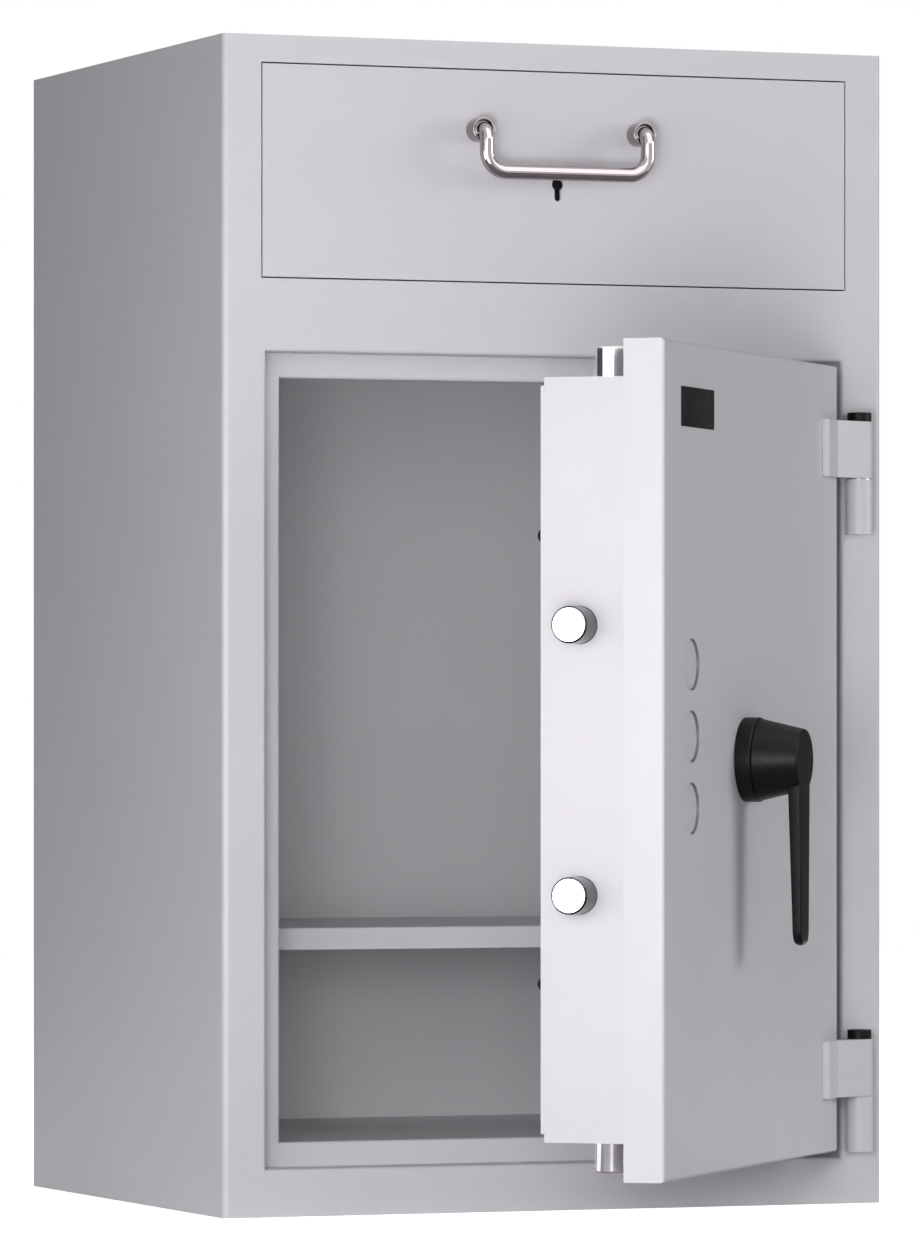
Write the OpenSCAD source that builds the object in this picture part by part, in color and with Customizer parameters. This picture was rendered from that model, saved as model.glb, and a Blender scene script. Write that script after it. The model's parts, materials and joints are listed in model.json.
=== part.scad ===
// Drop safe with a deposit drawer above a hinged door that is held by four thrown bolts.
// Millimetres. The origin is the centre of the underside, +Z is up and the front looks along -Y.
// The door is drawn shut in its own modules and is then swung to the angle at which it stands.

/* [Cabinet] */
// Width of the cabinet
body_w = 600; // [560:1:800]
// Depth of the cabinet
body_d = 500; // [460:1:700]
// Height of the cabinet
body_h = 985; // [975:1:1200]
// Thickness of the steel sheets of the casing and of the liner
sheet_t = 3; // [2:0.5:4]
// Thickness of the side and rear walls, both sheets included
wall_t = 44; // [38:1:48]
// Thickness of the roof, both sheets included
roof_t = 20; // [14:1:22]
// Height of the compartment floor above the underside
floor_t = 58; // [54:1:60]
// Outside radius of the upright front edges of the casing
casing_r = 5; // [4:0.5:12]

/* [Door opening] */
// Distance of the opening from each side of the cabinet
opening_side = 38; // [36:0.5:46]
// Height of the rail between the opening and the drawer front
rail_h = 62; // [56:0.1:90]
// Height of the lower edge of the opening above the underside
opening_z = 40; // [38:0.5:44]
// Depth from the front to the ledge that the leaf shuts against
ledge_d = 35; // [34:0.5:40]
// Width of the ledge at the sides
ledge_side = 25; // [20:0.5:28]
// Width of the ledge at the top and the bottom
ledge_end = 20.5; // [19:0.5:22]
// Thickness of the steel behind the ledge, which the bolts reach behind
ledge_t = 30; // [20:0.5:31]
// Radius of the rounded edges of the door frame
frame_r = 3; // [1:0.5:4]
// Width of the door frame's flat edge round an opening, flush with the casing
frame_land = 5; // [4.5:0.5:8]

/* [Door] */
// Angle by which the door stands open
door_open = 50; // [0:1:90]
// Thickness of the door leaf
leaf_t = 33.4; // [30:0.1:33.9]
// Gap between the leaf and the opening on the free side
leaf_gap_free = 3; // [2:0.5:5]
// Gap between the leaf and the opening on the hinge side
leaf_gap_hinge = 14.5; // [5:0.5:16]
// Gap between the leaf and the opening above
leaf_gap_top = 5.2; // [3:0.1:8]
// Gap between the leaf and the opening below
leaf_gap_bottom = 6.7; // [3:0.1:8]
// Radius of the front edges of the leaf
leaf_r = 2.9; // [1:0.1:2.9]
// Gap between the bolt case and the inner opening at the sides
case_gap_side = 15; // [14:0.5:25]
// Gap between the bolt case and the inner opening above
case_gap_top = 12.9; // [12:0.1:20]
// Gap between the bolt case and the inner opening below
case_gap_bottom = 14.8; // [13:0.1:20]
// Depth of the bolt case behind the leaf
case_d = 78; // [76:0.1:80]
// Thickness of the bolt case's sheet
case_t = 2.5; // [1.5:0.5:3]
// Width of the flange that carries the inner cover
case_flange = 15; // [12:1:25]
// Thickness of the inner cover
cover_t = 4; // [2:0.1:4.5]
// Distance of the cover's upright edges from the outside of the bolt case
cover_inset = 3.3; // [3:0.1:8]
// Distance of the cover's ends from the outside of the bolt case
cover_inset_end = 6.6; // [3:0.1:12]
// Diameter of the cover's screw heads
cover_screw_d = 13; // [8:0.5:14]
// Height of the cover's screw heads
cover_screw_h = 5; // [2:0.1:6]
// Distance between the upper and the lower cover screws
cover_screw_pitch = 359.5; // [200:0.5:500]
// Diameter of the three blanking plugs in the leaf
plug_d = 41.6; // [30:0.1:50]
// Distance between neighbouring blanking plugs
plug_pitch = 57.7; // [52:0.1:70]
// Distance of the plugs' centre line from the leaf's free edge
plug_in = 77.6; // [60:0.1:90]
// Height of the middle plug above the middle of the leaf
plug_up = 18.9; // [0:0.1:40]
// Depth of the plugs' faces behind the face of the leaf
plug_recess = 2.2; // [0.5:0.1:2.5]
// Width of the lock case in the door
door_lock_w = 60; // [40:1:64]
// Distance of the lock case from the side of the bolt case
door_lock_in = 10; // [10:0.5:30]
// Depth of the lock case in the door
door_lock_d = 28; // [20:1:30]
// Height of the lock case in the door
door_lock_h = 86; // [60:1:110]
// Reach of the lock's withdrawn bolt out of its case
door_lock_nose = 5; // [1:0.5:6]

/* [Hinges] */
// Distance of the hinge axis from the side of the cabinet
hinge_side = 26; // [22:0.5:28]
// Distance of the hinge axis in front of the cabinet
hinge_out = 12; // [12:0.5:14]
// Radius of the knuckle and of the barrel
knuckle_r = 11.5; // [9:0.5:11.5]
// Radius of the hinge pin
hinge_pin_r = 6; // [4:0.5:7]
// Height of the barrel on the cabinet
barrel_h = 47; // [30:1:60]
// Height of the hinge block on the door
hinge_block_h = 48.3; // [30:0.1:60]
// Distance of the hinge blocks from the ends of the leaf
hinge_in = 46.6; // [40:0.1:80]
// Thickness of the strap on the leaf
strap_t = 6; // [4:0.5:8]
// Reach of the strap from the hinge axis
strap_l = 72; // [60:1:110]
// Distance from the hinge axis at which the block starts to rise from the strap
strap_rise = 46; // [36:1:55]
// Radius of the black caps on the hinge blocks
hinge_cap_r = 10.3; // [8:0.1:11]
// Height of those caps
hinge_cap_h = 8; // [3:0.5:12]
// Thickness of the washer between barrel and block
washer_t = 1; // [0.5:0.1:2]

/* [Boltwork] */
// Diameter of the bolts
bolt_d = 30; // [20:1:31]
// Length of the bolts
bolt_l = 60; // [50:1:70]
// Reach of a thrown bolt past the bolt case
bolt_throw = 28.2; // [24:0.1:28.2]
// Chamfer at the end of a bolt
bolt_chamfer = 1.5; // [0.5:0.5:3]
// Distance of the bolts' axes behind the leaf
bolt_back = 48.5; // [47:0.5:54]
// Distance between the two side bolts
side_bolt_pitch = 216; // [190:1:240]
// Distance of the top and bottom bolts from the case's free side
end_bolt_in = 90; // [84:1:96]
// Thickness of the bars and racks
bar_t = 6; // [4:0.5:8]
// Width of the rods to the top and bottom bolts
rod_w = 16; // [12:1:20]
// Gear module of the pinion and the racks
gear_m = 1.5; // [1.4:0.05:1.5]
// Number of teeth of the pinion, a multiple of four
gear_n = 24; // [24:4:28]
// Play at each tooth flank
gear_play = 0.15; // [0.1:0.05:0.3]
// Height of the racks from the pitch line to the back
rack_h = 16; // [10:0.5:18]
// Height of the level part of the rods
jog_w = 18; // [12:0.5:22]
// Length of the guides along their bars
guide_h = 14; // [8:0.5:18]
// Thickness of the guides beside their bars
guide_rim = 10; // [5:0.5:12]

/* [Door handle] */
// Distance of the handle's axis from the middle of the cabinet, towards the free side
handle_off = 28.6; // [10:0.1:40]
// Diameter of the ring under the handle
rosette_d = 69.4; // [60:0.1:80]
// Height of that ring
rosette_h = 13.5; // [8:0.5:20]
// Diameter of the handle's hub at its foot
hub_d = 67; // [58:0.5:69]
// Diameter of the hub at its front
hub_front_d = 50; // [40:0.5:56]
// Height of the hub
hub_h = 36.7; // [25:0.1:45]
// Length of the lever from the axis to its tip
lever_l = 152; // [110:1:180]
// Width of the lever at the hub
lever_w = 30; // [22:0.5:36]
// Width of the lever at its tip
lever_tip_w = 24; // [16:0.5:28]
// Thickness of the lever at the hub
lever_t = 11.5; // [9:0.5:14]
// Thickness of the lever at its tip
lever_tip_t = 7.5; // [5:0.5:9]
// Radius of the handle's spindle
spindle_r = 6; // [4:0.5:8]
// Reach of the spindle's bush out of the back of the leaf
bush_out = 20; // [5:1:30]

/* [Deposit drawer] */
// Distance of the drawer front from each side of the cabinet
drawer_side = 34.8; // [33.5:0.1:48]
// Height of the drawer front
drawer_h = 177.5; // [165:0.5:186]
// Distance of the drawer front from the top of the cabinet
drawer_top = 24; // [20:0.1:30]
// Gap round the drawer front
drawer_gap = 1.3; // [0.8:0.1:3]
// Depth of the drawer front's pan
drawer_front_t = 25; // [20:1:40]
// Thickness of the tray's sheet
tray_t = 2; // [1.5:0.5:3]
// Depth of the tray behind the drawer front
tray_l = 245; // [180:1:300]
// Height of the tray's sides
tray_h = 105; // [60:1:110]
// Height of the tray's floor above the drawer front's lower edge
tray_up = 17.3; // [12:0.1:22]
// Distance of the tray from each side wall
tray_side = 22; // [18:1:40]
// Length of the runners behind the drawer front
runner_l = 400; // [380:1:420]
// Height of the runners
runner_h = 28; // [15:1:34]
// Height of the runners above the tray's floor
runner_up = 20; // [10:1:40]
// Width across the drawer rails' open mouth, from the wall to the lip
rail_d = 14; // [10:1:18]
// Running clearance of the runners in the rails
rail_gap = 0.5; // [0.3:0.1:1]
// Travel of the drawer
drawer_travel = 230; // [150:1:240]
// Radius of the pins that stop the runners
stop_r = 3; // [2:0.5:5]
// Distance of those pins behind the front end of the rails
stop_in = 10; // [8:1:30]

/* [Drawer handle] */
// Distance between the two legs of the bow handle
bow_w = 146.4; // [100:0.2:200]
// Diameter of the bow's bar
bow_d = 12.3; // [8:0.1:14]
// Height of the bow's bosses above the drawer front's lower edge
bow_up = 127; // [100:0.1:140]
// Drop from the bosses' axis to the bar's axis
bow_drop = 36; // [28:0.5:50]
// Bend radius of the bow's lower corners, at the bar's middle
bow_r = 17; // [12:0.5:20]
// Bend radius of the cranked ends, at the bar's middle
bow_crank_r = 9.5; // [9:0.5:11]
// Diameter of the bosses
boss_d = 20.4; // [18:0.2:26]
// Length of the bosses
boss_l = 16.5; // [12:0.5:20]
// Depth of the dished front of the bosses
boss_dish = 3.5; // [1:0.5:4]
// Radius of the keyhole's round part
keyhole_r = 5.3; // [4:0.1:7]
// Width of the keyhole's slot
keyhole_slot = 5.8; // [3:0.1:6]
// Drop from the keyhole's round part to the end of its slot
keyhole_drop = 14.3; // [10:0.1:20]
// Height of the keyhole's round part above the drawer front's lower edge
keyhole_up = 83.3; // [70:0.1:95]
// Width of the lock case in the drawer front
drawer_lock_w = 56; // [40:1:80]
// Height of the lock case in the drawer front
drawer_lock_h = 60; // [50:1:90]

/* [Stripper flap] */
// Distance of the flap's pin behind the drawer front's face
flap_in = 100; // [80:1:120]
// Distance of the flap from each side of the tray
flap_side = 14; // [10:1:30]
// Width of the flap's brackets
flap_bracket_w = 20; // [16:1:30]
// Drop of the flap's stop below the flap's eye
flap_stop_drop = 14; // [4:1:20]
// Thickness of the flap
flap_t = 3; // [2:0.5:4]
// Radius of the flap's pin
flap_pin_r = 4; // [3:0.5:5]
// Distance from the bay's ceiling to the flap's pin
flap_pin_drop = 10; // [9:0.5:14]
// Gap between the flap and the tray's floor
flap_gap = 4; // [2:0.5:10]

/* [Shelf and anchoring] */
// Height of the shelf's top above the underside
shelf_z = 237.6; // [150:0.1:400]
// Height of the shelf's front lip
shelf_lip = 18.7; // [12:0.1:30]
// Distance of the shelf's front edge behind the front of the cabinet
shelf_in = 126; // [123:1:180]
// Thickness of the shelf's sheet
shelf_t = 2; // [1.5:0.5:3]
// Radius of the anchor holes
anchor_r = 7; // [5:0.5:9]
// Distance between the two floor anchor holes
floor_anchor_pitch = 340; // [200:10:420]
// Distance of the floor anchor holes behind the middle of the cabinet
floor_anchor_y = 60; // [0:5:120]
// Distance between the two rear anchor holes
rear_anchor_pitch = 400; // [200:10:420]
// Height of the rear anchor holes above the underside
rear_anchor_z = 600; // [300:10:680]

/* [Hidden] */
$fn = 48;

paint = [0.80, 0.79, 0.82];
inner_paint = [0.66, 0.66, 0.68];
concrete = [0.62, 0.60, 0.57];
plain_steel = [0.62, 0.63, 0.65];
bright_steel = [0.86, 0.86, 0.88];
black = [0.12, 0.12, 0.13];
brass_tone = [0.78, 0.66, 0.36];

// Clearance of a turning pin, of a sliding bolt or bar, and of a piece that turns over another
pin_gap = 0.05;
slide_gap = 0.3;
face_gap = 0.3;
past = 1;

front_y = -body_d/2;
back_y = body_d/2;
side_in = body_w/2 - sheet_t;
side_r = casing_r - sheet_t;
wall_in = body_w/2 - wall_t;
rear_in = back_y - wall_t;
ceiling_z = body_h - roof_t;
frame_y = front_y + ledge_d + ledge_t;

drawer_w = body_w - 2*drawer_side;
drawer_z = body_h - drawer_top - drawer_h;
opening_w = body_w - 2*opening_side;
opening_h = drawer_z - rail_h - opening_z;
open_x = opening_w/2;
open_z = [opening_z, opening_z + opening_h];
ledge_y = front_y + ledge_d;
inner_x = open_x - ledge_side;
inner_z = [open_z[0] + ledge_end, open_z[1] - ledge_end];
bay_x = drawer_w/2 + drawer_gap;
bay_z = [drawer_z - drawer_gap, drawer_z + drawer_h + drawer_gap];
split_z = (open_z[1] + bay_z[0])/2;

leaf_x = [-open_x + leaf_gap_free, open_x - leaf_gap_hinge];
leaf_z = [open_z[0] + leaf_gap_bottom, open_z[1] - leaf_gap_top];
leaf_back = front_y + leaf_t;
skin_back = front_y + sheet_t;
case_x = [-inner_x + case_gap_side, inner_x - case_gap_side];
case_z = [inner_z[0] + case_gap_bottom, inner_z[1] - case_gap_top];
case_back = leaf_back + case_d;
cover_x = [case_x[0] + cover_inset, case_x[1] - cover_inset];
cover_z = [case_z[0] + cover_inset_end, case_z[1] - cover_inset_end];
middle_z = (leaf_z[0] + leaf_z[1])/2;
plug_x = leaf_x[0] + plug_in;

hinge_x = body_w/2 - hinge_side;
hinge_y = front_y - hinge_out;
block_z = barrel_h + washer_t;
hinge_feet = [leaf_z[0] + hinge_in - block_z, leaf_z[1] - hinge_in - hinge_block_h - block_z];
back_gap = hinge_out - knuckle_r;

handle_x = -handle_off;
rosette_y = front_y - rosette_h;
hub_y = rosette_y - face_gap;
handle_front = hub_y - hub_h;

bolt_r = bolt_d/2;
bolt_y = leaf_back + bolt_back;
side_bolt_z = [middle_z - side_bolt_pitch/2, middle_z + side_bolt_pitch/2];
end_bolt_x = case_x[0] + end_bolt_in;
side_tip = case_x[0] - bolt_throw;
top_tip = case_z[1] + bolt_throw;
bottom_tip = case_z[0] - bolt_throw;
gear_r = gear_m*gear_n/2;
rod_y = [bolt_y - bar_t/2, bolt_y + bar_t/2];
arm_y = [bolt_y - bolt_r, bolt_y - bolt_r + bar_t];
gear_y = [arm_y[0] - past, rod_y[1] + past];
travel = gear_r*PI/2;
jog_z = travel + gear_r + 2*rack_h + 2;
socket_z = bottom_tip - 4;

tray_x = wall_in - tray_side;
flap_w = 2*(tray_x - flap_side);
tray_z = drawer_z + tray_up;
pan_back = front_y + drawer_front_t;
tray_back = pan_back + tray_l;
runner_z = tray_z + runner_up;
groove_x = wall_in - tray_t - 5*rail_gap - stop_r;
bow_z = drawer_z + bow_up;
dish_y = front_y - boss_l + boss_dish;
bow_y = dish_y - bow_crank_r;
bar_z = bow_z - bow_drop;
keyhole_z = drawer_z + keyhole_up;

flap_y = front_y + flap_in;
flap_pin_z = ceiling_z - flap_pin_drop;
flap_low = tray_z + tray_t + flap_gap;
flap_eye_r = flap_pin_r + 3;
bracket_x = flap_w/2 + 4;

function steps(n) = [for (i = [0:n - 1]) i];

// A block between two x, two y and two z values
module block(x, y, z) {
    translate([x[0], y[0], z[0]])
        cube([x[1] - x[0], y[1] - y[0], z[1] - z[0]]);
}

// A cylinder along Y between two y values
module bar_y(x, z, r, y) {
    translate([x, y[1], z]) rotate([90, 0, 0]) cylinder(r = r, h = y[1] - y[0]);
}

// A flat outline in x and z, thick between two y values
module plate_xz(y) {
    translate([0, y[1], 0]) rotate([90, 0, 0]) linear_extrude(y[1] - y[0]) children();
}

// A flat outline in y and z, long between two x values
module bar_x(x) {
    translate([x[0], 0, 0]) rotate([90, 0, 90]) linear_extrude(x[1] - x[0]) children();
}

// A rectangle with its two corners at the low y side rounded
module front_rounded(x, y, r) {
    translate([x[0], y[0] + r]) square([x[1] - x[0], y[1] - y[0] - r]);
    translate([x[0] + r, y[0]]) square([x[1] - x[0] - 2*r, 2*r]);
    translate([x[0] + r, y[0] + r]) circle(r);
    translate([x[1] - r, y[0] + r]) circle(r);
}

// A block with all four edges of its front face rounded
module soft_front(x, y, z, r) {
    intersection() {
        translate([0, 0, z[0]]) linear_extrude(z[1] - z[0]) front_rounded(x, y, r);
        translate([x[1], 0, 0]) rotate([0, -90, 0]) linear_extrude(x[1] - x[0]) front_rounded(z, y, r);
    }
}

// What is cut away to round the lower front edge of an opening, at the distance d below its middle
module edge_cut(d, l, r) {
    translate([-l/2, 0, -d]) rotate([0, 90, 0]) linear_extrude(l) difference() {
        translate([-past, -past]) square(r + past);
        translate([r, r]) circle(r);
    }
}

// Rounds the four front edges of an opening, with mitred corners
module round_over(w, h, r) {
    far = [h/2, w/2, h/2, w/2, h/2];
    run = [w, h, w, h, w];
    for (s = [0:3]) {
        rotate([0, 90*s, 0]) edge_cut(far[s], run[s], r);
        intersection() {
            rotate([0, 90*s, 0]) edge_cut(far[s], run[s] + 2*r, r);
            rotate([0, 90*(s + 1), 0]) edge_cut(far[s + 1], run[s + 1] + 2*r, r);
        }
    }
}

// Swings the door's pieces from shut to where the door stands
module on_door() {
    translate([hinge_x, hinge_y, 0]) rotate([0, 0, door_open]) translate([-hinge_x, -hinge_y, 0])
        children();
}

// The places of the anchor holes: two upright ones in the floor, two level ones in the rear
module floor_anchors(r, z) {
    for (s = [-1, 1])
        translate([s*floor_anchor_pitch/2, floor_anchor_y, z[0]]) cylinder(r = r, h = z[1] - z[0]);
}
module rear_anchors(r, y) {
    for (s = [-1, 1]) bar_y(s*rear_anchor_pitch/2, rear_anchor_z, r, y);
}

// Cabinet

module outer_casing() {
    color(paint) difference() {
        linear_extrude(body_h) difference() {
            front_rounded([-body_w/2, body_w/2], [front_y, back_y], casing_r);
            front_rounded([-side_in, side_in], [skin_back, back_y + past], side_r);
        }
        block([-open_x - frame_land, open_x + frame_land], [front_y - past, skin_back + past],
              [open_z[0] - frame_land, open_z[1] + frame_land]);
        block([-bay_x - frame_land, bay_x + frame_land], [front_y - past, skin_back + past],
              [bay_z[0] - frame_land, bay_z[1] + frame_land]);
    }
}

module fitted(y, z) {
    translate([0, 0, z[0]]) linear_extrude(z[1] - z[0])
        front_rounded([-side_in, side_in], [skin_back, y], side_r);
}

module roof_panel() {
    color(paint) fitted(back_y, [body_h - sheet_t, body_h]);
}

module base_panel() {
    color(paint) difference() {
        fitted(back_y, [0, sheet_t]);
        floor_anchors(anchor_r + sheet_t, [-past, sheet_t + past]);
    }
}

module rear_panel() {
    color(paint) difference() {
        block([-side_in, side_in], [back_y - sheet_t, back_y], [sheet_t, body_h - sheet_t]);
        rear_anchors(anchor_r + sheet_t, [back_y - sheet_t - past, back_y + past]);
    }
}

module door_frame() {
    color(paint) difference() {
        union() {
            fitted(frame_y, [sheet_t, split_z]);
            block([-open_x - frame_land, open_x + frame_land], [front_y, skin_back],
                  [open_z[0] - frame_land, open_z[1] + frame_land]);
        }
        block([-open_x, open_x], [front_y - past, ledge_y], open_z);
        block([-inner_x, inner_x], [front_y, frame_y + past], inner_z);
        translate([0, front_y, (open_z[0] + open_z[1])/2])
            round_over(opening_w, opening_h, frame_r);
        translate([0, ledge_y, (inner_z[0] + inner_z[1])/2])
            round_over(2*inner_x, inner_z[1] - inner_z[0], frame_r);
    }
}

module drawer_frame() {
    color(paint) difference() {
        union() {
            fitted(frame_y, [split_z, body_h - sheet_t]);
            block([-bay_x - frame_land, bay_x + frame_land], [front_y, skin_back],
                  [bay_z[0] - frame_land, bay_z[1] + frame_land]);
        }
        block([-bay_x, bay_x], [front_y - past, frame_y + past], bay_z);
    }
}

module side_filling() {
    color(concrete) for (s = [-1, 1])
        block([min(s*(wall_in + sheet_t), s*side_in), max(s*(wall_in + sheet_t), s*side_in)],
              [frame_y, back_y - sheet_t], [sheet_t, body_h - sheet_t]);
}

module rear_filling() {
    color(concrete) difference() {
        block([-wall_in - sheet_t, wall_in + sheet_t], [rear_in + sheet_t, back_y - sheet_t],
              [sheet_t, body_h - sheet_t]);
        rear_anchors(anchor_r + sheet_t, [rear_in, back_y]);
    }
}

module floor_filling() {
    color(concrete) difference() {
        block([-wall_in - sheet_t, wall_in + sheet_t], [frame_y, rear_in + sheet_t],
              [sheet_t, floor_t - sheet_t]);
        floor_anchors(anchor_r + sheet_t, [0, floor_t]);
        translate([end_bolt_x, bolt_y, socket_z]) cylinder(r = bolt_r + past, h = floor_t);
    }
}

module roof_filling() {
    color(concrete) block([-wall_in - sheet_t, wall_in + sheet_t], [frame_y, rear_in + sheet_t],
                          [ceiling_z + sheet_t, body_h - sheet_t]);
}

module liner_sides() {
    color(inner_paint) for (s = [-1, 1])
        block([min(s*wall_in, s*(wall_in + sheet_t)), max(s*wall_in, s*(wall_in + sheet_t))],
              [frame_y, rear_in + sheet_t], [floor_t - sheet_t, ceiling_z + sheet_t]);
}

module liner_rear() {
    color(inner_paint) difference() {
        block([-wall_in, wall_in], [rear_in, rear_in + sheet_t],
              [floor_t - sheet_t, ceiling_z + sheet_t]);
        rear_anchors(anchor_r + sheet_t, [rear_in - past, rear_in + sheet_t + past]);
    }
}

module liner_floor() {
    color(inner_paint) difference() {
        block([-wall_in, wall_in], [frame_y, rear_in], [floor_t - sheet_t, floor_t]);
        floor_anchors(anchor_r + sheet_t, [0, floor_t + past]);
        translate([end_bolt_x, bolt_y, 0]) cylinder(r = bolt_r + past, h = floor_t + past);
    }
}

module liner_ceiling() {
    color(inner_paint) block([-wall_in, wall_in], [frame_y, rear_in], [ceiling_z, ceiling_z + sheet_t]);
}

// The shelf's sheet is folded down along its front edge and back under it
module shelf() {
    front = front_y + shelf_in;
    color(inner_paint) bar_x([-wall_in + past, wall_in - past]) difference() {
        union() {
            translate([front, shelf_z - shelf_t]) square([rear_in - past - front, shelf_t]);
            translate([front, shelf_z - shelf_lip]) square([12, shelf_lip]);
        }
        translate([front + shelf_t, shelf_z - shelf_lip + shelf_t]) square([12, shelf_lip - 2*shelf_t]);
        difference() {
            translate([front - past, shelf_z - shelf_t]) square([shelf_t + past, shelf_t + past]);
            translate([front + shelf_t, shelf_z - shelf_t]) circle(shelf_t);
        }
    }
}

module shelf_supports() {
    leg = 20;
    top = shelf_z - shelf_t;
    color(inner_paint) for (s = [0, 1]) mirror([s, 0, 0]) difference() {
        block([wall_in - leg, wall_in], [front_y + shelf_in + leg, rear_in - leg], [top - leg, top]);
        block([wall_in - leg - past, wall_in - shelf_t], [front_y, back_y],
              [top - leg - past, top - shelf_t]);
    }
}

module anchor_sleeves() {
    color(plain_steel) difference() {
        union() {
            floor_anchors(anchor_r + sheet_t, [0, floor_t]);
            rear_anchors(anchor_r + sheet_t, [rear_in, back_y]);
        }
        floor_anchors(anchor_r, [-past, floor_t + past]);
        rear_anchors(anchor_r, [rear_in - past, back_y + past]);
    }
}

module hinge_barrels() {
    leg = 0.7*knuckle_r;
    color(paint) for (z = hinge_feet) difference() {
        union() {
            translate([hinge_x, hinge_y, z]) cylinder(r = knuckle_r, h = barrel_h);
            block([hinge_x - leg, hinge_x + leg], [hinge_y, front_y], [z, z + barrel_h]);
        }
        translate([hinge_x, hinge_y, z + sheet_t]) cylinder(r = hinge_pin_r, h = barrel_h);
    }
}

module hinge_pins() {
    color(plain_steel) for (z = hinge_feet)
        translate([hinge_x, hinge_y, z + sheet_t])
            cylinder(r = hinge_pin_r, h = block_z + hinge_block_h - sheet_t - face_gap);
}

module hinge_washers() {
    color(brass_tone) for (z = hinge_feet) translate([hinge_x, hinge_y, z + barrel_h]) difference() {
        cylinder(r = knuckle_r - past, h = washer_t - face_gap);
        translate([0, 0, -past]) cylinder(r = hinge_pin_r, h = washer_t + 2*past);
    }
}

// Channels on the side walls, open towards the tray
module drawer_rails() {
    low = runner_z - rail_gap;
    high = runner_z + runner_h + rail_gap;
    color(plain_steel) for (s = [0, 1]) mirror([s, 0, 0]) difference() {
        block([wall_in - rail_d, wall_in], [frame_y, rear_in - past], [low - tray_t, high + tray_t]);
        block([wall_in - rail_d - past, wall_in - tray_t], [frame_y - past, rear_in], [low, high]);
    }
}

// Pins in the rails, each in a groove of its runner, which stop the drawer at both ends
module stop_pins() {
    color(bright_steel) for (s = [0, 1]) mirror([s, 0, 0])
        translate([groove_x + rail_gap, frame_y + stop_in, runner_z + runner_h/2]) rotate([0, 90, 0])
            cylinder(r = stop_r, h = wall_in - tray_t - groove_x - rail_gap);
}

module flap_brackets() {
    color(plain_steel) for (s = [0, 1]) mirror([s, 0, 0]) difference() {
        block([bracket_x, bracket_x + flap_t], [flap_y - flap_bracket_w/2, flap_y + flap_bracket_w/2],
              [flap_pin_z - flap_eye_r, ceiling_z]);
        translate([0, flap_y, flap_pin_z]) rotate([0, 90, 0]) cylinder(r = flap_pin_r, h = body_w);
    }
}

module flap_pin() {
    color(bright_steel) translate([-bracket_x - flap_t - 2, flap_y, flap_pin_z]) rotate([0, 90, 0])
        cylinder(r = flap_pin_r, h = 2*(bracket_x + flap_t + 2));
}

// A J-shaped strip in front of the flap, which keeps it from swinging out
module flap_stop() {
    web = flap_y - flap_eye_r - 2;
    nose = flap_y - flap_t/2 - face_gap;
    foot = flap_pin_z - flap_eye_r - flap_stop_drop;
    color(plain_steel) bar_x([-flap_w/2, flap_w/2]) union() {
        translate([web - tray_t, foot]) square([tray_t, ceiling_z - foot]);
        translate([web - tray_t, foot]) square([nose - web + tray_t, tray_t]);
    }
}

// Door leaf and what is fixed to it

module leaf_pan() {
    color(paint) on_door() difference() {
        soft_front(leaf_x, [front_y, leaf_back], leaf_z, leaf_r);
        block([leaf_x[0] + sheet_t, leaf_x[1] - sheet_t], [skin_back, leaf_back + past],
              [leaf_z[0] + sheet_t, leaf_z[1] - sheet_t]);
        bar_y(handle_x, middle_z, spindle_r + sheet_t, [front_y - past, leaf_back]);
        plug_places((plug_d/2) + 0.15, [front_y - past, skin_back + past]);
    }
}

module plug_places(r, y) {
    for (i = [-1:1]) bar_y(plug_x, middle_z + plug_up + i*plug_pitch, r, y);
}

module leaf_filling() {
    color(concrete) on_door() difference() {
        block([leaf_x[0] + sheet_t, leaf_x[1] - sheet_t], [skin_back, leaf_back - sheet_t],
              [leaf_z[0] + sheet_t, leaf_z[1] - sheet_t]);
        bar_y(handle_x, middle_z, spindle_r + sheet_t, [front_y, leaf_back]);
    }
}

module leaf_back_plate() {
    color(paint) on_door() difference() {
        block([leaf_x[0] + sheet_t, leaf_x[1] - sheet_t], [leaf_back - sheet_t, leaf_back],
              [leaf_z[0] + sheet_t, leaf_z[1] - sheet_t]);
        bar_y(handle_x, middle_z, spindle_r + sheet_t, [front_y, leaf_back + past]);
    }
}

module blanking_plugs() {
    color(paint) on_door() plug_places(plug_d/2, [front_y + plug_recess, skin_back]);
}

// The block rises from a strap on the leaf to the knuckle round the pin
module hinge_blocks() {
    far = hinge_x - strap_l;
    rise = [hinge_x - strap_rise, front_y - strap_t];
    leaf_end = leaf_x[1];
    reach = norm([strap_rise, hinge_out - strap_t]);
    lean = asin(knuckle_r/reach) + atan2(hinge_out - strap_t, strap_rise);
    touch = [hinge_x - knuckle_r*sin(lean), hinge_y - knuckle_r*cos(lean)];
    color(paint) on_door() for (z = hinge_feet) translate([0, 0, z + block_z]) difference() {
        linear_extrude(hinge_block_h) union() {
            polygon([
                [far, front_y], [far, front_y - strap_t], rise,
                touch, [hinge_x, hinge_y], [hinge_x, front_y - back_gap],
                [leaf_end, front_y - back_gap], [leaf_end, front_y]
            ]);
            translate([hinge_x, hinge_y]) circle(knuckle_r);
        }
        translate([hinge_x, hinge_y, -past])
            cylinder(r = hinge_pin_r + pin_gap, h = hinge_block_h + 2*past);
    }
}

module hinge_caps() {
    color(black) on_door() for (z = hinge_feet)
        translate([hinge_x, hinge_y, z + block_z + hinge_block_h]) difference() {
            cylinder(r = hinge_cap_r, h = hinge_cap_h);
            translate([0, 0, hinge_cap_h]) rotate_extrude() polygon([
                [hinge_cap_r - 0.8, past], [hinge_cap_r - 0.8, 0], [hinge_cap_r, -0.8],
                [hinge_cap_r + past, -0.8], [hinge_cap_r + past, past]
            ]);
        }
}

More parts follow.
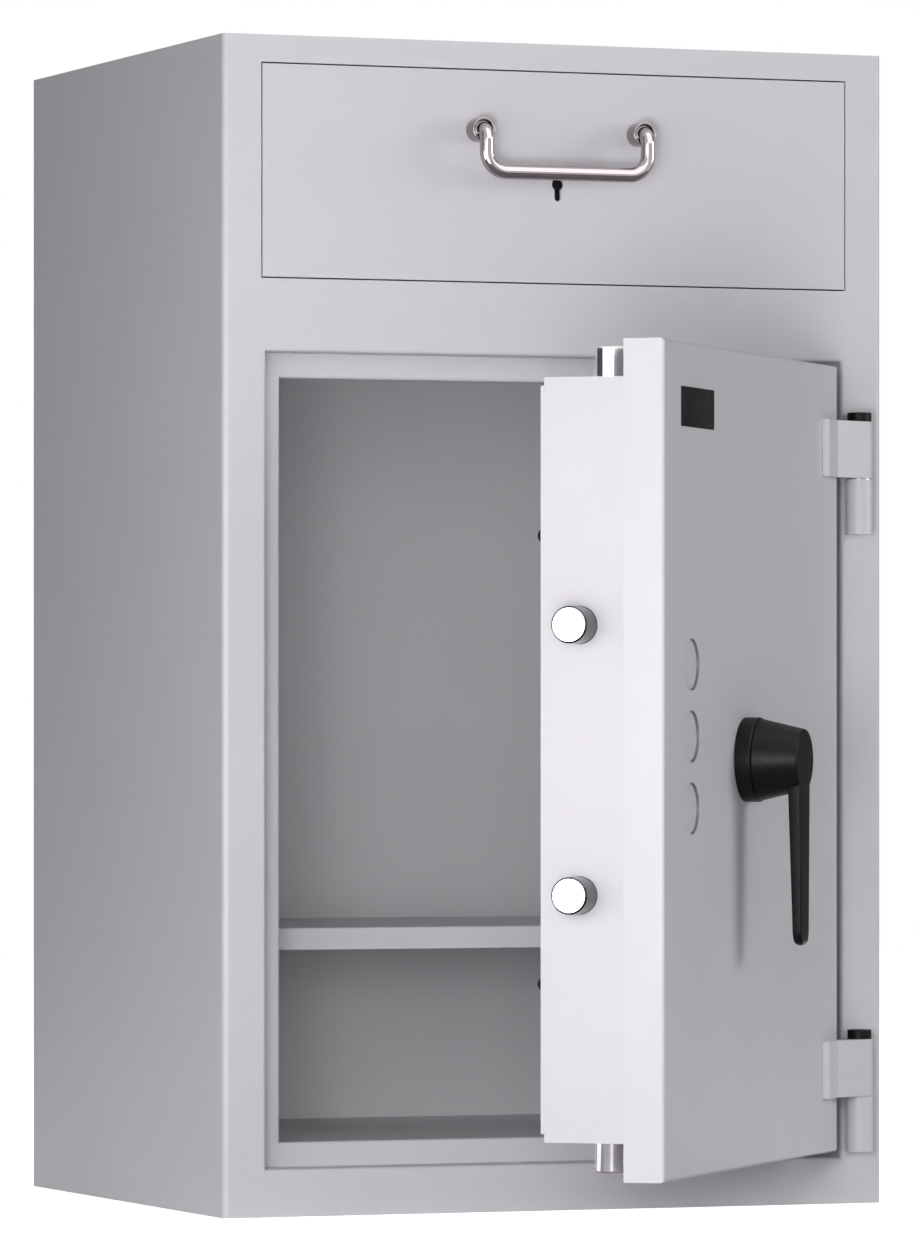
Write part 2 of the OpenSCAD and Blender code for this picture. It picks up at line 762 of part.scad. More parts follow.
// The holes that the four bolts pass through
module bolt_holes() {
    r = bolt_r + slide_gap;
    for (z = side_bolt_z)
        translate([case_x[0] - past, bolt_y, z]) rotate([0, 90, 0]) cylinder(r = r, h = case_t + 2*past);
    translate([end_bolt_x, bolt_y, case_z[1] - case_t - past]) cylinder(r = r, h = case_t + 2*past);
    translate([end_bolt_x, bolt_y, case_z[0] - past]) cylinder(r = r, h = case_t + 2*past);
}

module bolt_case() {
    color(paint) on_door() difference() {
        block(case_x, [leaf_back, case_back], case_z);
        block([case_x[0] + case_t, case_x[1] - case_t], [leaf_back - past, case_back - case_t],
              [case_z[0] + case_t, case_z[1] - case_t]);
        block([case_x[0] + case_flange, case_x[1] - case_flange], [leaf_back, case_back + past],
              [case_z[0] + case_flange, case_z[1] - case_flange]);
        bolt_holes();
    }
}

module inner_cover() {
    color(paint) on_door() block(cover_x, [case_back, case_back + cover_t], cover_z);
}

module cover_screws() {
    r = cover_screw_d/2;
    ball = (r*r + cover_screw_h*cover_screw_h)/(2*cover_screw_h);
    low = (cover_z[0] + cover_z[1] - cover_screw_pitch)/2;
    color(black) on_door() for (x = [cover_x[0] + r + 2, cover_x[1] - r - 2], i = [0, 1])
        translate([x, case_back + cover_t, low + i*cover_screw_pitch]) rotate([-90, 0, 0])
            rotate_extrude() intersection() {
                translate([0, cover_screw_h - ball]) circle(ball);
                square([r, r]);
            }
}

// A lock case on the leaf's back plate, behind the blanking plugs
module door_lock() {
    x = [case_x[0] + door_lock_in, case_x[0] + door_lock_in + door_lock_w];
    mid = middle_z + plug_up;
    y = leaf_back + door_lock_d/2;
    color(plain_steel) on_door() union() {
        block(x, [leaf_back, leaf_back + door_lock_d], [mid - door_lock_h/2, mid + door_lock_h/2]);
        block([x[0] - door_lock_nose, x[0] + past], [y - door_lock_d/5, y + door_lock_d/5],
              [mid - door_lock_h/6, mid + door_lock_h/6]);
    }
}

// Bridges on the leaf's back plate that guide the two rods and the carriage's arm
module bar_guides() {
    h = guide_h;
    rim = guide_rim;
    rods_at = [top_tip - bolt_l - travel - 2*h, bottom_tip + bolt_l + travel + h];
    arm_z = [middle_z + gear_r + 1.25*gear_m, middle_z + gear_r + rack_h];
    arm_x = [handle_x - gear_r*4, handle_x - gear_r*4 + h];
    color(plain_steel) on_door() {
        for (z = rods_at) difference() {
            block([end_bolt_x - rod_w/2 - rim, end_bolt_x + rod_w/2 + rim], [leaf_back, rod_y[1] + rim/2],
                  [z, z + h]);
            block([end_bolt_x - rod_w/2 - slide_gap, end_bolt_x + rod_w/2 + slide_gap],
                  [rod_y[0] - slide_gap, rod_y[1] + slide_gap], [z - past, z + h + past]);
        }
        difference() {
            block(arm_x, [leaf_back, arm_y[1] + 2], [arm_z[0] - rim, arm_z[1] + rim]);
            block([arm_x[0] - past, arm_x[1] + past], [arm_y[0] - slide_gap, arm_y[1] + slide_gap],
                  [arm_z[0] - slide_gap, arm_z[1] + slide_gap]);
        }
    }
}

module spindle_bush() {
    color(brass_tone) on_door() difference() {
        bar_y(handle_x, middle_z, spindle_r + sheet_t, [front_y, leaf_back + bush_out]);
        bar_y(handle_x, middle_z, spindle_r + pin_gap, [front_y - past, leaf_back + bush_out + past]);
    }
}

module handle_rosette() {
    color(black) on_door() difference() {
        bar_y(handle_x, middle_z, rosette_d/2, [rosette_y, front_y]);
        bar_y(handle_x, middle_z, spindle_r + pin_gap, [rosette_y - past, front_y + past]);
    }
}

// Handle and boltwork

module lever_outline() {
    tip = lever_l - lever_tip_w/2;
    polygon([[-lever_w/2, 0], [lever_w/2, 0], [lever_tip_w/2, -tip], [-lever_tip_w/2, -tip]]);
    translate([0, -tip]) circle(lever_tip_w/2);
}

module door_handle() {
    r = lever_tip_t/2;
    color(black) on_door() translate([handle_x, 0, middle_z]) difference() {
        union() {
            translate([0, hub_y, 0]) rotate([90, 0, 0])
                cylinder(r1 = hub_d/2, r2 = hub_front_d/2, h = hub_h);
            intersection() {
                plate_xz([handle_front, hub_y]) lever_outline();
                bar_x([-lever_w, lever_w]) union() {
                    polygon([
                        [handle_front, 0], [handle_front + lever_t, 0],
                        [handle_front + lever_tip_t, -lever_l + r], [handle_front, -lever_l + r]
                    ]);
                    translate([handle_front + r, -lever_l + r]) circle(r);
                }
            }
        }
        bar_y(0, 0, spindle_r, [handle_front + 8, hub_y + past]);
    }
}

module handle_spindle() {
    color(plain_steel) on_door() bar_y(handle_x, middle_z, spindle_r, [handle_front + 8, gear_y[1]]);
}

// Involute tooth flanks: the half angle of a tooth at the radius r, in degrees
pressure = 20;
gear_base = gear_r*cos(pressure);
gear_tip = gear_r + gear_m;
gear_root = gear_r - 1.25*gear_m;
function inv(a) = tan(a) - a*PI/180;
function tooth_half(r) = 90/gear_n - (gear_play/gear_r + inv(acos(gear_base/r)) - inv(pressure))*180/PI;
function polar(r, a) = [r*cos(a), r*sin(a)];
flank = [gear_base, (2*gear_base + gear_tip)/3, (gear_base + 2*gear_tip)/3, gear_tip];
function gear_outline() = [for (i = steps(gear_n)) let (a = 360*i/gear_n) each concat(
    [polar(gear_root, a - tooth_half(gear_base))],
    [for (r = flank) polar(r, a - tooth_half(r))],
    [for (k = [3:-1:0]) polar(flank[k], a + tooth_half(flank[k]))],
    [polar(gear_root, a + tooth_half(gear_base))])];

module bolt_pinion() {
    color(plain_steel) on_door() difference() {
        translate([handle_x, 0, middle_z]) plate_xz(gear_y) polygon(gear_outline());
        bar_y(handle_x, middle_z, spindle_r, [gear_y[0] - past, gear_y[1] + past]);
    }
}

// A rack whose pitch line is the X axis, with its teeth down and a gap at the origin
rack_pitch = PI*gear_m;
rack_first = -ceil(travel/rack_pitch) - 3;
rack_last = 2;
rack_end = [(rack_first - 0.4)*rack_pitch, (rack_last + 1.4)*rack_pitch];
rack_root = 1.25*gear_m;
function rack_half(y) = rack_pitch/4 - gear_play + y*tan(pressure);
function rack_outline() = concat(
    [[rack_end[0], rack_h], [rack_end[0], rack_root]],
    [for (k = [rack_first:rack_last]) let (c = (k + 0.5)*rack_pitch) each [
        [c - rack_half(rack_root), rack_root], [c - rack_half(-gear_m), -gear_m],
        [c + rack_half(-gear_m), -gear_m], [c + rack_half(rack_root), rack_root]]],
    [[rack_end[1], rack_root], [rack_end[1], rack_h]]);

// The rack lies at the distance of the pitch radius from the handle's axis, turned by an angle
module rack_at(turn) {
    translate([handle_x, middle_z]) rotate(turn) translate([0, gear_r]) polygon(rack_outline());
}

module side_bolts() {
    color(bright_steel) on_door() for (z = side_bolt_z)
        translate([side_tip, bolt_y, z]) rotate([0, 90, 0]) bolt();
}

// A bolt that starts at its chamfered tip
module bolt() {
    cylinder(r1 = bolt_r - bolt_chamfer, r2 = bolt_r, h = bolt_chamfer);
    translate([0, 0, bolt_chamfer]) cylinder(r = bolt_r, h = bolt_l - bolt_chamfer);
}

module bolt_carriage() {
    x = side_tip + bolt_l;
    foot = bolt_r + 3;
    color(plain_steel) on_door() union() {
        block([x, x + 8], [bolt_y - bolt_r, bolt_y + bolt_r], [side_bolt_z[0] - foot, side_bolt_z[1] + foot]);
        block([x + 8, handle_x + rack_end[0]], arm_y,
              [middle_z + gear_r + rack_root, middle_z + gear_r + rack_h]);
        plate_xz(arm_y) rack_at(0);
    }
}

module top_bolt() {
    color(bright_steel) on_door() translate([end_bolt_x, bolt_y, top_tip]) rotate([180, 0, 0]) bolt();
}

module bottom_bolt() {
    color(bright_steel) on_door() translate([end_bolt_x, bolt_y, bottom_tip]) bolt();
}

// The rods are cut from plate: a rack beside the pinion, a jog and a long bar to the bolt
module top_rod() {
    x = end_bolt_x - rod_w/2;
    z = middle_z + jog_z;
    color(plain_steel) on_door() plate_xz(rod_y) union() {
        rack_at(-90);
        translate([handle_x + gear_r + rack_root, middle_z - rack_end[0]])
            square([rack_h - rack_root, jog_z + rack_end[0] + jog_w]);
        translate([x, z]) square([handle_x + gear_r + rack_h - x, jog_w]);
        translate([x, z]) square([rod_w, top_tip - bolt_l - z]);
    }
}

module bottom_rod() {
    x = end_bolt_x - rod_w/2;
    z = middle_z - jog_z;
    low = bottom_tip + bolt_l;
    color(plain_steel) on_door() plate_xz(rod_y) union() {
        rack_at(90);
        translate([handle_x - gear_r - rack_h, z - jog_w])
            square([rack_h - rack_root, jog_z + rack_end[0] + jog_w]);
        translate([x, z - jog_w]) square([handle_x - gear_r - rack_root - x, jog_w]);
        translate([x, low]) square([rod_w, z - low]);
    }
}

// Deposit drawer

module keyhole(y) {
    bar_y(0, keyhole_z, keyhole_r, y);
    bar_y(0, keyhole_z - keyhole_drop + keyhole_slot/2, keyhole_slot/2, y);
    block([-keyhole_slot/2, keyhole_slot/2], y, [keyhole_z - keyhole_drop + keyhole_slot/2, keyhole_z]);
}

module drawer_front() {
    x = drawer_w/2;
    z = [drawer_z, drawer_z + drawer_h];
    color(paint) difference() {
        block([-x, x], [front_y, pan_back], z);
        block([-x + sheet_t, x - sheet_t], [skin_back, pan_back + past], [z[0] + sheet_t, z[1] - sheet_t]);
        keyhole([front_y - past, skin_back + past]);
        for (s = [-1, 1]) bar_y(s*bow_w/2, bow_z, 2.5, [front_y - past, skin_back + past]);
    }
}

module drawer_back_plate() {
    x = drawer_w/2 - sheet_t;
    color(paint) block([-x, x], [pan_back - tray_t, pan_back],
                       [drawer_z + sheet_t, drawer_z + drawer_h - sheet_t]);
}

// A folded tray, open at the top and at the rear
module drawer_tray() {
    color(inner_paint) difference() {
        block([-tray_x, tray_x], [pan_back, tray_back], [tray_z, tray_z + tray_h]);
        block([-tray_x + tray_t, tray_x - tray_t], [pan_back + tray_t, tray_back + past],
              [tray_z + tray_t, tray_z + tray_h + past]);
    }
}

module drawer_runners() {
    grip = stop_r + rail_gap;
    stop_y = frame_y + stop_in;
    mid = runner_z + runner_h/2;
    color(bright_steel) for (s = [0, 1]) mirror([s, 0, 0]) difference() {
        block([tray_x, wall_in - tray_t - rail_gap], [pan_back, pan_back + runner_l],
              [runner_z, runner_z + runner_h]);
        block([groove_x, wall_in], [stop_y - grip, stop_y + drawer_travel + grip], [mid - grip, mid + grip]);
    }
}

module drawer_lock() {
    color(black) difference() {
        block([-drawer_lock_w/2, drawer_lock_w/2], [skin_back, pan_back - tray_t],
              [keyhole_z - 0.6*drawer_lock_h, keyhole_z + 0.4*drawer_lock_h]);
        keyhole([skin_back - past, skin_back + tray_t]);
    }
}

// One end of the bow: a cranked end out of the boss, a leg down and the bend into the grip
module bow_end() {
    r = bow_d/2;
    leg_x = bow_w/2;
    union() {
        union() {
            translate([leg_x, dish_y, bow_z - bow_crank_r]) rotate([0, -90, 0]) rotate([0, 0, -90])
                rotate_extrude(angle = 90) translate([bow_crank_r, 0]) circle(r);
            translate([leg_x, bow_y, bar_z + bow_r])
                cylinder(r = r, h = bow_drop - bow_crank_r - bow_r);
        }
        translate([leg_x - bow_r, bow_y, bar_z + bow_r]) rotate([90, 0, 0])
            rotate([0, 0, -90]) rotate_extrude(angle = 90) translate([bow_r, 0]) circle(r);
    }
}

module drawer_handle() {
    color(bright_steel) union() {
        union() {
            bow_end();
            translate([-bow_w/2 + bow_r, bow_y, bar_z]) rotate([0, 90, 0])
                cylinder(r = bow_d/2, h = bow_w - 2*bow_r);
        }
        mirror([1, 0, 0]) bow_end();
    }
}

module handle_bosses() {
    color(bright_steel) for (s = [-1, 1]) difference() {
        bar_y(s*bow_w/2, bow_z, boss_d/2, [front_y - boss_l, front_y]);
        bar_y(s*bow_w/2, bow_z, boss_d/2 - 2.2, [front_y - boss_l - past, dish_y]);
        bar_y(s*bow_w/2, bow_z, 2.5, [dish_y - past, front_y + past]);
    }
}

module boss_screws() {
    color(plain_steel) for (s = [-1, 1]) {
        bar_y(s*bow_w/2, bow_z, 2.5, [dish_y, skin_back]);
        bar_y(s*bow_w/2, bow_z, 5, [skin_back, skin_back + 3.5]);
    }
}

// The flap hangs on its pin in front of what lies in the tray and only swings inwards
module stripper_flap() {
    color(plain_steel) difference() {
        union() {
            translate([-flap_w/2, flap_y, flap_pin_z]) rotate([0, 90, 0])
                cylinder(r = flap_eye_r, h = flap_w);
            block([-flap_w/2, flap_w/2], [flap_y - flap_t/2, flap_y + flap_t/2], [flap_low, flap_pin_z]);
        }
        translate([-flap_w/2 - past, flap_y, flap_pin_z]) rotate([0, 90, 0])
            cylinder(r = flap_pin_r + pin_gap, h = flap_w + 2*past);
    }
}

outer_casing();
roof_panel();
base_panel();
rear_panel();
door_frame();
drawer_frame();
side_filling();
rear_filling();
floor_filling();
roof_filling();
liner_sides();
liner_rear();
liner_floor();
liner_ceiling();
shelf();
shelf_supports();
anchor_sleeves();
hinge_barrels();
hinge_pins();
hinge_washers();
drawer_rails();
stop_pins();
flap_brackets();
flap_pin();
flap_stop();
leaf_pan();
leaf_filling();
leaf_back_plate();
blanking_plugs();
hinge_blocks();
hinge_caps();
bolt_case();
inner_cover();
cover_screws();
door_lock();
bar_guides();
spindle_bush();
handle_rosette();
door_handle();
handle_spindle();
bolt_pinion();
side_bolts();
bolt_carriage();
top_bolt();
top_rod();
bottom_bolt();
bottom_rod();
drawer_front();
drawer_back_plate();
drawer_tray();
drawer_runners();
drawer_lock();
drawer_handle();
handle_bosses();
boss_screws();
stripper_flap();
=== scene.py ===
"""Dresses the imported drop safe: finishes for every piece, the soft forms of its castings and trim, and the
studio."""

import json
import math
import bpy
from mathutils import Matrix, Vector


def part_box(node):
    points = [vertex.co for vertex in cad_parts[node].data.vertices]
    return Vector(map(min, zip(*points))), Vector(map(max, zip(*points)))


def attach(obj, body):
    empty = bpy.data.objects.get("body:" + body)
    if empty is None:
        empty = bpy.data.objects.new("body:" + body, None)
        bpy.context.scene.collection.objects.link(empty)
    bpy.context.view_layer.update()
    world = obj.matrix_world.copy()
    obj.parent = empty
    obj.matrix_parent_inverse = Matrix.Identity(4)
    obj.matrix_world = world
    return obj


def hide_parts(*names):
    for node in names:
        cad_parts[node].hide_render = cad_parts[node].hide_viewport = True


bl_info = {
    "name": "Drop safe with deposit drawer",
    "version": (1, 0, 0),
    "blender": (4, 5, 0),
    "location": "3D View > Sidebar > Drop safe",
    "description": "Finishes, soft-edged castings and a plain studio for the drop safe",
    "category": "Object",
}

import bpy
import numpy as np
from bpy.props import FloatProperty, FloatVectorProperty, PointerProperty

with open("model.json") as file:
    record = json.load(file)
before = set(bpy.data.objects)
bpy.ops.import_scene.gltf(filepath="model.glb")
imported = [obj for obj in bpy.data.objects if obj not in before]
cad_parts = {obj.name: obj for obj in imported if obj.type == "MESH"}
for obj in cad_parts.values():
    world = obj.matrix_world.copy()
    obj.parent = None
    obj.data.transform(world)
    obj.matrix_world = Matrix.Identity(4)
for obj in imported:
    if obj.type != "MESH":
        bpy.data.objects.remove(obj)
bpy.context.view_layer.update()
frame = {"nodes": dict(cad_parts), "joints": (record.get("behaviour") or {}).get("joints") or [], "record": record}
NODES = frame["nodes"]
JOINTS = {joint["name"]: joint for joint in frame["joints"]}
SLOT_OF = {part["node"]: part["material_slot"] for part in frame["record"]["subparts"]}

MM = 0.001
DOOR_ANGLE = math.radians(-JOINTS["door_swing"]["range_deg"][0])
HINGE = np.array(JOINTS["door_swing"]["pos_m"])
# The plane in which the drawer front and the face of the shut door lie
FRONT_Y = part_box("drawer_front")[0].y
# Directions on the shut door and the cabinet
OUTWARDS = (0, -1, 0)
INWARDS = (0, 1, 0)
UP = (0, 0, 1)
# A turned profile starts and ends this far from its axis, so a small flat cap closes it and not a pole
NEEDLE = 0.2 * MM
# Edges that bend more than this stay sharp
CREASE = math.radians(35)


# Places on the door


def turned_about_hinge(points, angle):
    """Points turned about the upright hinge axis: x and y turn by the angle, z stays."""
    points = np.asarray(points, float)
    c, s = math.cos(angle), math.sin(angle)
    flat = points[..., :2] - HINGE[:2]
    turned = points.copy()
    turned[..., 0] = HINGE[0] + c * flat[..., 0] - s * flat[..., 1]
    turned[..., 1] = HINGE[1] + s * flat[..., 0] + c * flat[..., 1]
    return turned


def to_open_door(points):
    """Points of the shut door, brought to where the door stands open."""
    return turned_about_hinge(points, DOOR_ANGLE)


def shut_box(node):
    """Lowest and highest corner that a piece of the door has while the door is shut."""
    points = turned_about_hinge([v.co for v in NODES[node].data.vertices], -DOOR_ANGLE)
    return points.min(0), points.max(0)


HANDLE_X, _, HANDLE_Z = turned_about_hinge(JOINTS["handle_turn"]["pos_m"], -DOOR_ANGLE)


# Surfaces


def grid_faces(rows, columns, closed_rows=False):
    """Four-sided faces between neighbouring points of a grid: corner, next column, next column of the
    next row, next row. The columns wrap round to their start, and the rows do where they are closed."""
    i, j = np.meshgrid(np.arange(rows if closed_rows else rows - 1), np.arange(columns), indexing="ij")
    next_i, next_j = (i + 1) % rows, (j + 1) % columns
    corners = (i * columns + j, i * columns + next_j, next_i * columns + next_j, next_i * columns + j)
    return np.stack(corners, -1).reshape(-1, 4)


def end_caps(rows, columns):
    """The two faces that close the first and the last row of a grid, facing out."""
    last = (rows - 1) * columns
    return [tuple(range(columns))[::-1], tuple(range(last, last + columns))]


def make_piece(name, points, faces, finish, body, stands_for=(), caps=()):
    """Puts points and faces into a new mesh at the origin and lets it ride on its body, in a material slot
    and in place of the nodes that it stands for."""
    mesh = bpy.data.meshes.new(name)
    all_faces = np.asarray(faces).tolist() + [list(cap) for cap in caps]
    mesh.from_pydata(np.asarray(points, float).reshape(-1, 3).tolist(), [], all_faces)
    mesh.validate()
    mesh.update()
    piece = bpy.data.objects.new(name, mesh)
    bpy.context.scene.collection.objects.link(piece)
    mesh.materials.append(finish)
    mesh.shade_smooth()
    mesh.set_sharp_from_angle(angle=CREASE)
    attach(piece, body)
    if stands_for:
        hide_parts(*stands_for)


def lathe(profile, centre, axis, sides=96):
    """Turns a profile of (radius, height) points about an axis: point = centre + height times axis +
    radius times (cos a, sin a) in the plane square to the axis. The ends close with a cap each."""
    axis = np.asarray(axis, float) / np.linalg.norm(axis)
    side = np.cross(axis, [0.0, 0.0, 1.0] if abs(axis[2]) < 0.9 else [1.0, 0.0, 0.0])
    side /= np.linalg.norm(side)
    other = np.cross(axis, side)
    a = np.linspace(0, 2 * math.pi, sides, endpoint=False)
    ring = np.cos(a)[:, None] * side + np.sin(a)[:, None] * other
    profile = np.asarray(profile, float)
    points = (np.asarray(centre, float) + profile[:, 1, None, None] * axis
              + profile[:, 0, None, None] * ring[None])
    return points.reshape(-1, 3), grid_faces(len(profile), sides), end_caps(len(profile), sides)


def turned_ring(profile, centre, axis, sides=96):
    """Turns a closed profile about an axis, as lathe does, into a ring without caps."""
    points, _, _ = lathe(profile, centre, axis, sides)
    return points, grid_faces(len(profile), sides, closed_rows=True), []


def swept_tube(path, radius, sides=48):
    """A round bar along a path: each ring is square to the path, radius times (cos a, sin a) in a pair of
    directions that is carried along the path without twist. The ends close with a cap each."""
    along = np.gradient(path, axis=0)
    along /= np.linalg.norm(along, axis=1)[:, None]
    side = np.cross(along[0], [1.0, 0.0, 0.0])
    a = np.linspace(0, 2 * math.pi, sides, endpoint=False)
    rings = []
    for here, ahead in zip(path, along):
        side = side - ahead * np.dot(side, ahead)
        side /= np.linalg.norm(side)
        other = np.cross(ahead, side)
        rings.append(here + radius * (np.cos(a)[:, None] * side + np.sin(a)[:, None] * other))
    return np.concatenate(rings), grid_faces(len(path), sides), end_caps(len(path), sides)


def evenly_spaced(path, step):
    """The same path with points at even steps along its length."""
    along = np.concatenate([[0.0], np.cumsum(np.linalg.norm(np.diff(path, axis=0), axis=1))])
    at = np.linspace(0.0, along[-1], int(round(along[-1] / step)) + 1)
    return np.stack([np.interp(at, along, path[:, k]) for k in range(3)], -1)


def rounded_sections(half_width, half_depth, radius, steps=5):
    """Rectangles about the origin, one for each entry of the three rows of sizes. The four corners are
    quarter circles: corner centre + radius times (cos a, sin a)."""
    quarter = np.linspace(0, math.pi / 2, steps + 1)
    width, depth, r = half_width[:, None], half_depth[:, None], radius[:, None]
    corners = []
    for k, (sx, sy) in enumerate(((1, 1), (-1, 1), (-1, -1), (1, -1))):
        a = quarter + k * math.pi / 2
        corners.append(np.stack([sx * (width - r) + r * np.cos(a), sy * (depth - r) + r * np.sin(a)], -1))
    return np.concatenate(corners, axis=1)


def rounded_profile(corners, radii, steps=6):
    """A profile with its corners rounded: each corner gets points on a quadratic curve between the two
    points that lie one radius away from it along its sides."""
    corners = np.asarray(corners, float)
    out = [corners[0]]
    t = np.linspace(0, 1, steps + 1)[:, None]
    for before, here, after, r in zip(corners[:-2], corners[1:-1], corners[2:], radii):
        if r <= 0:
            out.append(here)
            continue
        start = here + (before - here) * min(1, r / np.linalg.norm(before - here))
        end = here + (after - here) * min(1, r / np.linalg.norm(after - here))
        out.extend((1 - t) ** 2 * start + 2 * t * (1 - t) * here + t ** 2 * end)
    out.append(corners[-1])
    return np.array(out)


def rounded_slab(half_width, half_height, radius, thick, edge):
    """A plate in x and z that stands out of y = 0 towards -y. Its outline is a rectangle with rounded
    corners: corner centre + radius times (cos a, sin a). The radius shrinks over the last edge of its
    thickness."""
    sides = 48
    a = np.linspace(0, 2 * math.pi, sides, endpoint=False) + math.pi / sides
    x_sign, z_sign = np.sign(np.cos(a)), np.sign(np.sin(a))
    rings = []
    for y, inset in ((0.0, 0.0), (-thick + edge, 0.0), (-thick + 0.3 * edge, 0.3 * edge), (-thick, edge)):
        x = x_sign * (half_width - radius) + (radius - inset) * np.cos(a)
        z = z_sign * (half_height - radius) + (radius - inset) * np.sin(a)
        rings.append(np.stack([x, np.full_like(x, y), z], -1))
    return np.concatenate(rings), grid_faces(len(rings), sides), end_caps(len(rings), sides)


def joined(parts):
    """Several closed surfaces as one: their points in a row, their faces and caps with shifted numbers."""
    points, faces, caps, start = [], [], [], 0
    for part_points, part_faces, part_caps in parts:
        points.append(part_points)
        faces.append(np.asarray(part_faces) + start)
        caps.extend([tuple(k + start for k in cap) for cap in part_caps])
        start += len(part_points)
    return np.concatenate(points), np.concatenate(faces), caps


# Finishes


def new_finish(name):
    """A material with only a Principled shader and its output."""
    finish = bpy.data.materials.new(name)
    finish.use_nodes = True
    tree = finish.node_tree
    tree.nodes.clear()
    out = tree.nodes.new("ShaderNodeOutputMaterial")
    shader = tree.nodes.new("ShaderNodeBsdfPrincipled")
    tree.links.new(shader.outputs["BSDF"], out.inputs["Surface"])
    return finish, tree, shader


def noise(tree, scale, detail=2.0, stretch=None):
    """Noise on Object coordinates, in noise cells per metre, stretched along an axis where asked."""
    where = tree.nodes.new("ShaderNodeTexCoord").outputs["Object"]
    if stretch is not None:
        mapping = tree.nodes.new("ShaderNodeMapping")
        mapping.inputs["Scale"].default_value = stretch
        tree.links.new(where, mapping.inputs["Vector"])
        where = mapping.outputs["Vector"]
    cells = tree.nodes.new("ShaderNodeTexNoise")
    cells.inputs["Scale"].default_value = scale
    cells.inputs["Detail"].default_value = detail
    tree.links.new(where, cells.inputs["Vector"])
    return cells.outputs["Fac"]


# The stretch of a noise's values that carries most of the surface
NOISE_LOW, NOISE_HIGH = 0.3, 0.7


def vary(tree, fac, low, high, socket):
    """Lets a noise move a socket between two values."""
    spread = tree.nodes.new("ShaderNodeMapRange")
    spread.inputs["From Min"].default_value = NOISE_LOW
    spread.inputs["From Max"].default_value = NOISE_HIGH
    spread.inputs["To Min"].default_value = low
    spread.inputs["To Max"].default_value = high
    tree.links.new(fac, spread.inputs["Value"])
    tree.links.new(spread.outputs["Result"], socket)


def tint(tree, fac, dark, light, socket):
    """Lets a noise move a colour between two near tones."""
    ramp = tree.nodes.new("ShaderNodeValToRGB")
    first, last = ramp.color_ramp.elements
    first.position, last.position = NOISE_LOW, NOISE_HIGH
    first.color, last.color = (*dark, 1), (*light, 1)
    tree.links.new(fac, ramp.inputs["Fac"])
    tree.links.new(ramp.outputs["Color"], socket)


def emboss(tree, shader, fac, strength, distance):
    """Raises and sinks the surface a little by a noise."""
    bump = tree.nodes.new("ShaderNodeBump")
    bump.inputs["Strength"].default_value = strength
    bump.inputs["Distance"].default_value = distance
    tree.links.new(fac, bump.inputs["Height"])
    tree.links.new(bump.outputs["Normal"], shader.inputs["Normal"])


def powder_coat(name, colour, rough):
    """Satin powder coat: an even tone with the finest orange peel."""
    finish, tree, shader = new_finish(name)
    colour = np.array(colour)
    clouds = noise(tree, scale=9.0, detail=3.0)
    tint(tree, clouds, colour * 0.985, np.minimum(colour * 1.01, 1), shader.inputs["Base Color"])
    vary(tree, noise(tree, scale=60.0), rough - 0.03, rough + 0.03, shader.inputs["Roughness"])
    emboss(tree, shader, noise(tree, scale=700.0, detail=1.0), strength=0.10, distance=0.25 * MM)
    return finish


def bare_steel(name, colour, rough):
    """Plain machined or rolled metal with fine lines."""
    finish, tree, shader = new_finish(name)
    colour = np.array(colour)
    shader.inputs["Metallic"].default_value = 1.0
    lines = noise(tree, scale=160.0, detail=4.0, stretch=(1.0, 1.0, 9.0))
    tint(tree, lines, colour * 0.92, np.minimum(colour * 1.04, 1), shader.inputs["Base Color"])
    vary(tree, lines, rough - 0.05, rough + 0.06, shader.inputs["Roughness"])
    emboss(tree, shader, lines, strength=0.05, distance=0.2 * MM)
    return finish


def mirror_metal(name, colour, rough):
    """Polished metal with the faintest clouding."""
    finish, tree, shader = new_finish(name)
    shader.inputs["Metallic"].default_value = 1.0
    shader.inputs["Base Color"].default_value = (*colour, 1)
    vary(tree, noise(tree, scale=45.0, detail=3.0), rough * 0.8, rough * 1.3, shader.inputs["Roughness"])
    return finish


def turned_bolts(dark_reflection_shank, bright):
    """Polished end faces on shanks whose dark tone is a painted dark reflection: the shank and its chamfer ring
    get a near-black metal colour in place of the dark surroundings that the chrome mirrors. How far a point lies
    along the bolts, its place times the direction in which they point, says which of the two it belongs to."""
    finish, tree, shader = new_finish("turned bolts")
    shader.inputs["Metallic"].default_value = 1.0
    shader.inputs["Roughness"].default_value = 0.12
    ahead = to_open_door(HINGE + np.array([-1.0, 0.0, 0.0])) - HINGE
    end = max(float(np.dot(v.co, ahead)) for v in NODES["side_bolts"].data.vertices)
    where = tree.nodes.new("ShaderNodeTexCoord").outputs["Object"]
    along = tree.nodes.new("ShaderNodeVectorMath")
    along.operation = "DOT_PRODUCT"
    tree.links.new(where, along.inputs[0])
    along.inputs[1].default_value = ahead
    span = tree.nodes.new("ShaderNodeMapRange")
    span.inputs["From Min"].default_value = end - 0.4 * MM
    span.inputs["From Max"].default_value = end - 0.1 * MM
    tree.links.new(along.outputs["Value"], span.inputs["Value"])
    ramp = tree.nodes.new("ShaderNodeValToRGB")
    first, last = ramp.color_ramp.elements
    first.color, last.color = (*dark_reflection_shank, 1), (*bright, 1)
    tree.links.new(span.outputs["Result"], ramp.inputs["Fac"])
    tree.links.new(ramp.outputs["Color"], shader.inputs["Base Color"])
    return finish


def satin_black(name, colour, rough, grain):
    """Black coat or plastic with a fine grain."""
    finish, tree, shader = new_finish(name)
    colour = np.array(colour)
    shader.inputs["Specular IOR Level"].default_value = 0.12
    tint(tree, noise(tree, scale=40.0), colour * 0.9, colour * 1.1, shader.inputs["Base Color"])
    vary(tree, noise(tree, scale=90.0), rough - 0.04, rough + 0.05, shader.inputs["Roughness"])
    emboss(tree, shader, noise(tree, scale=grain), strength=0.12, distance=0.2 * MM)
    return finish


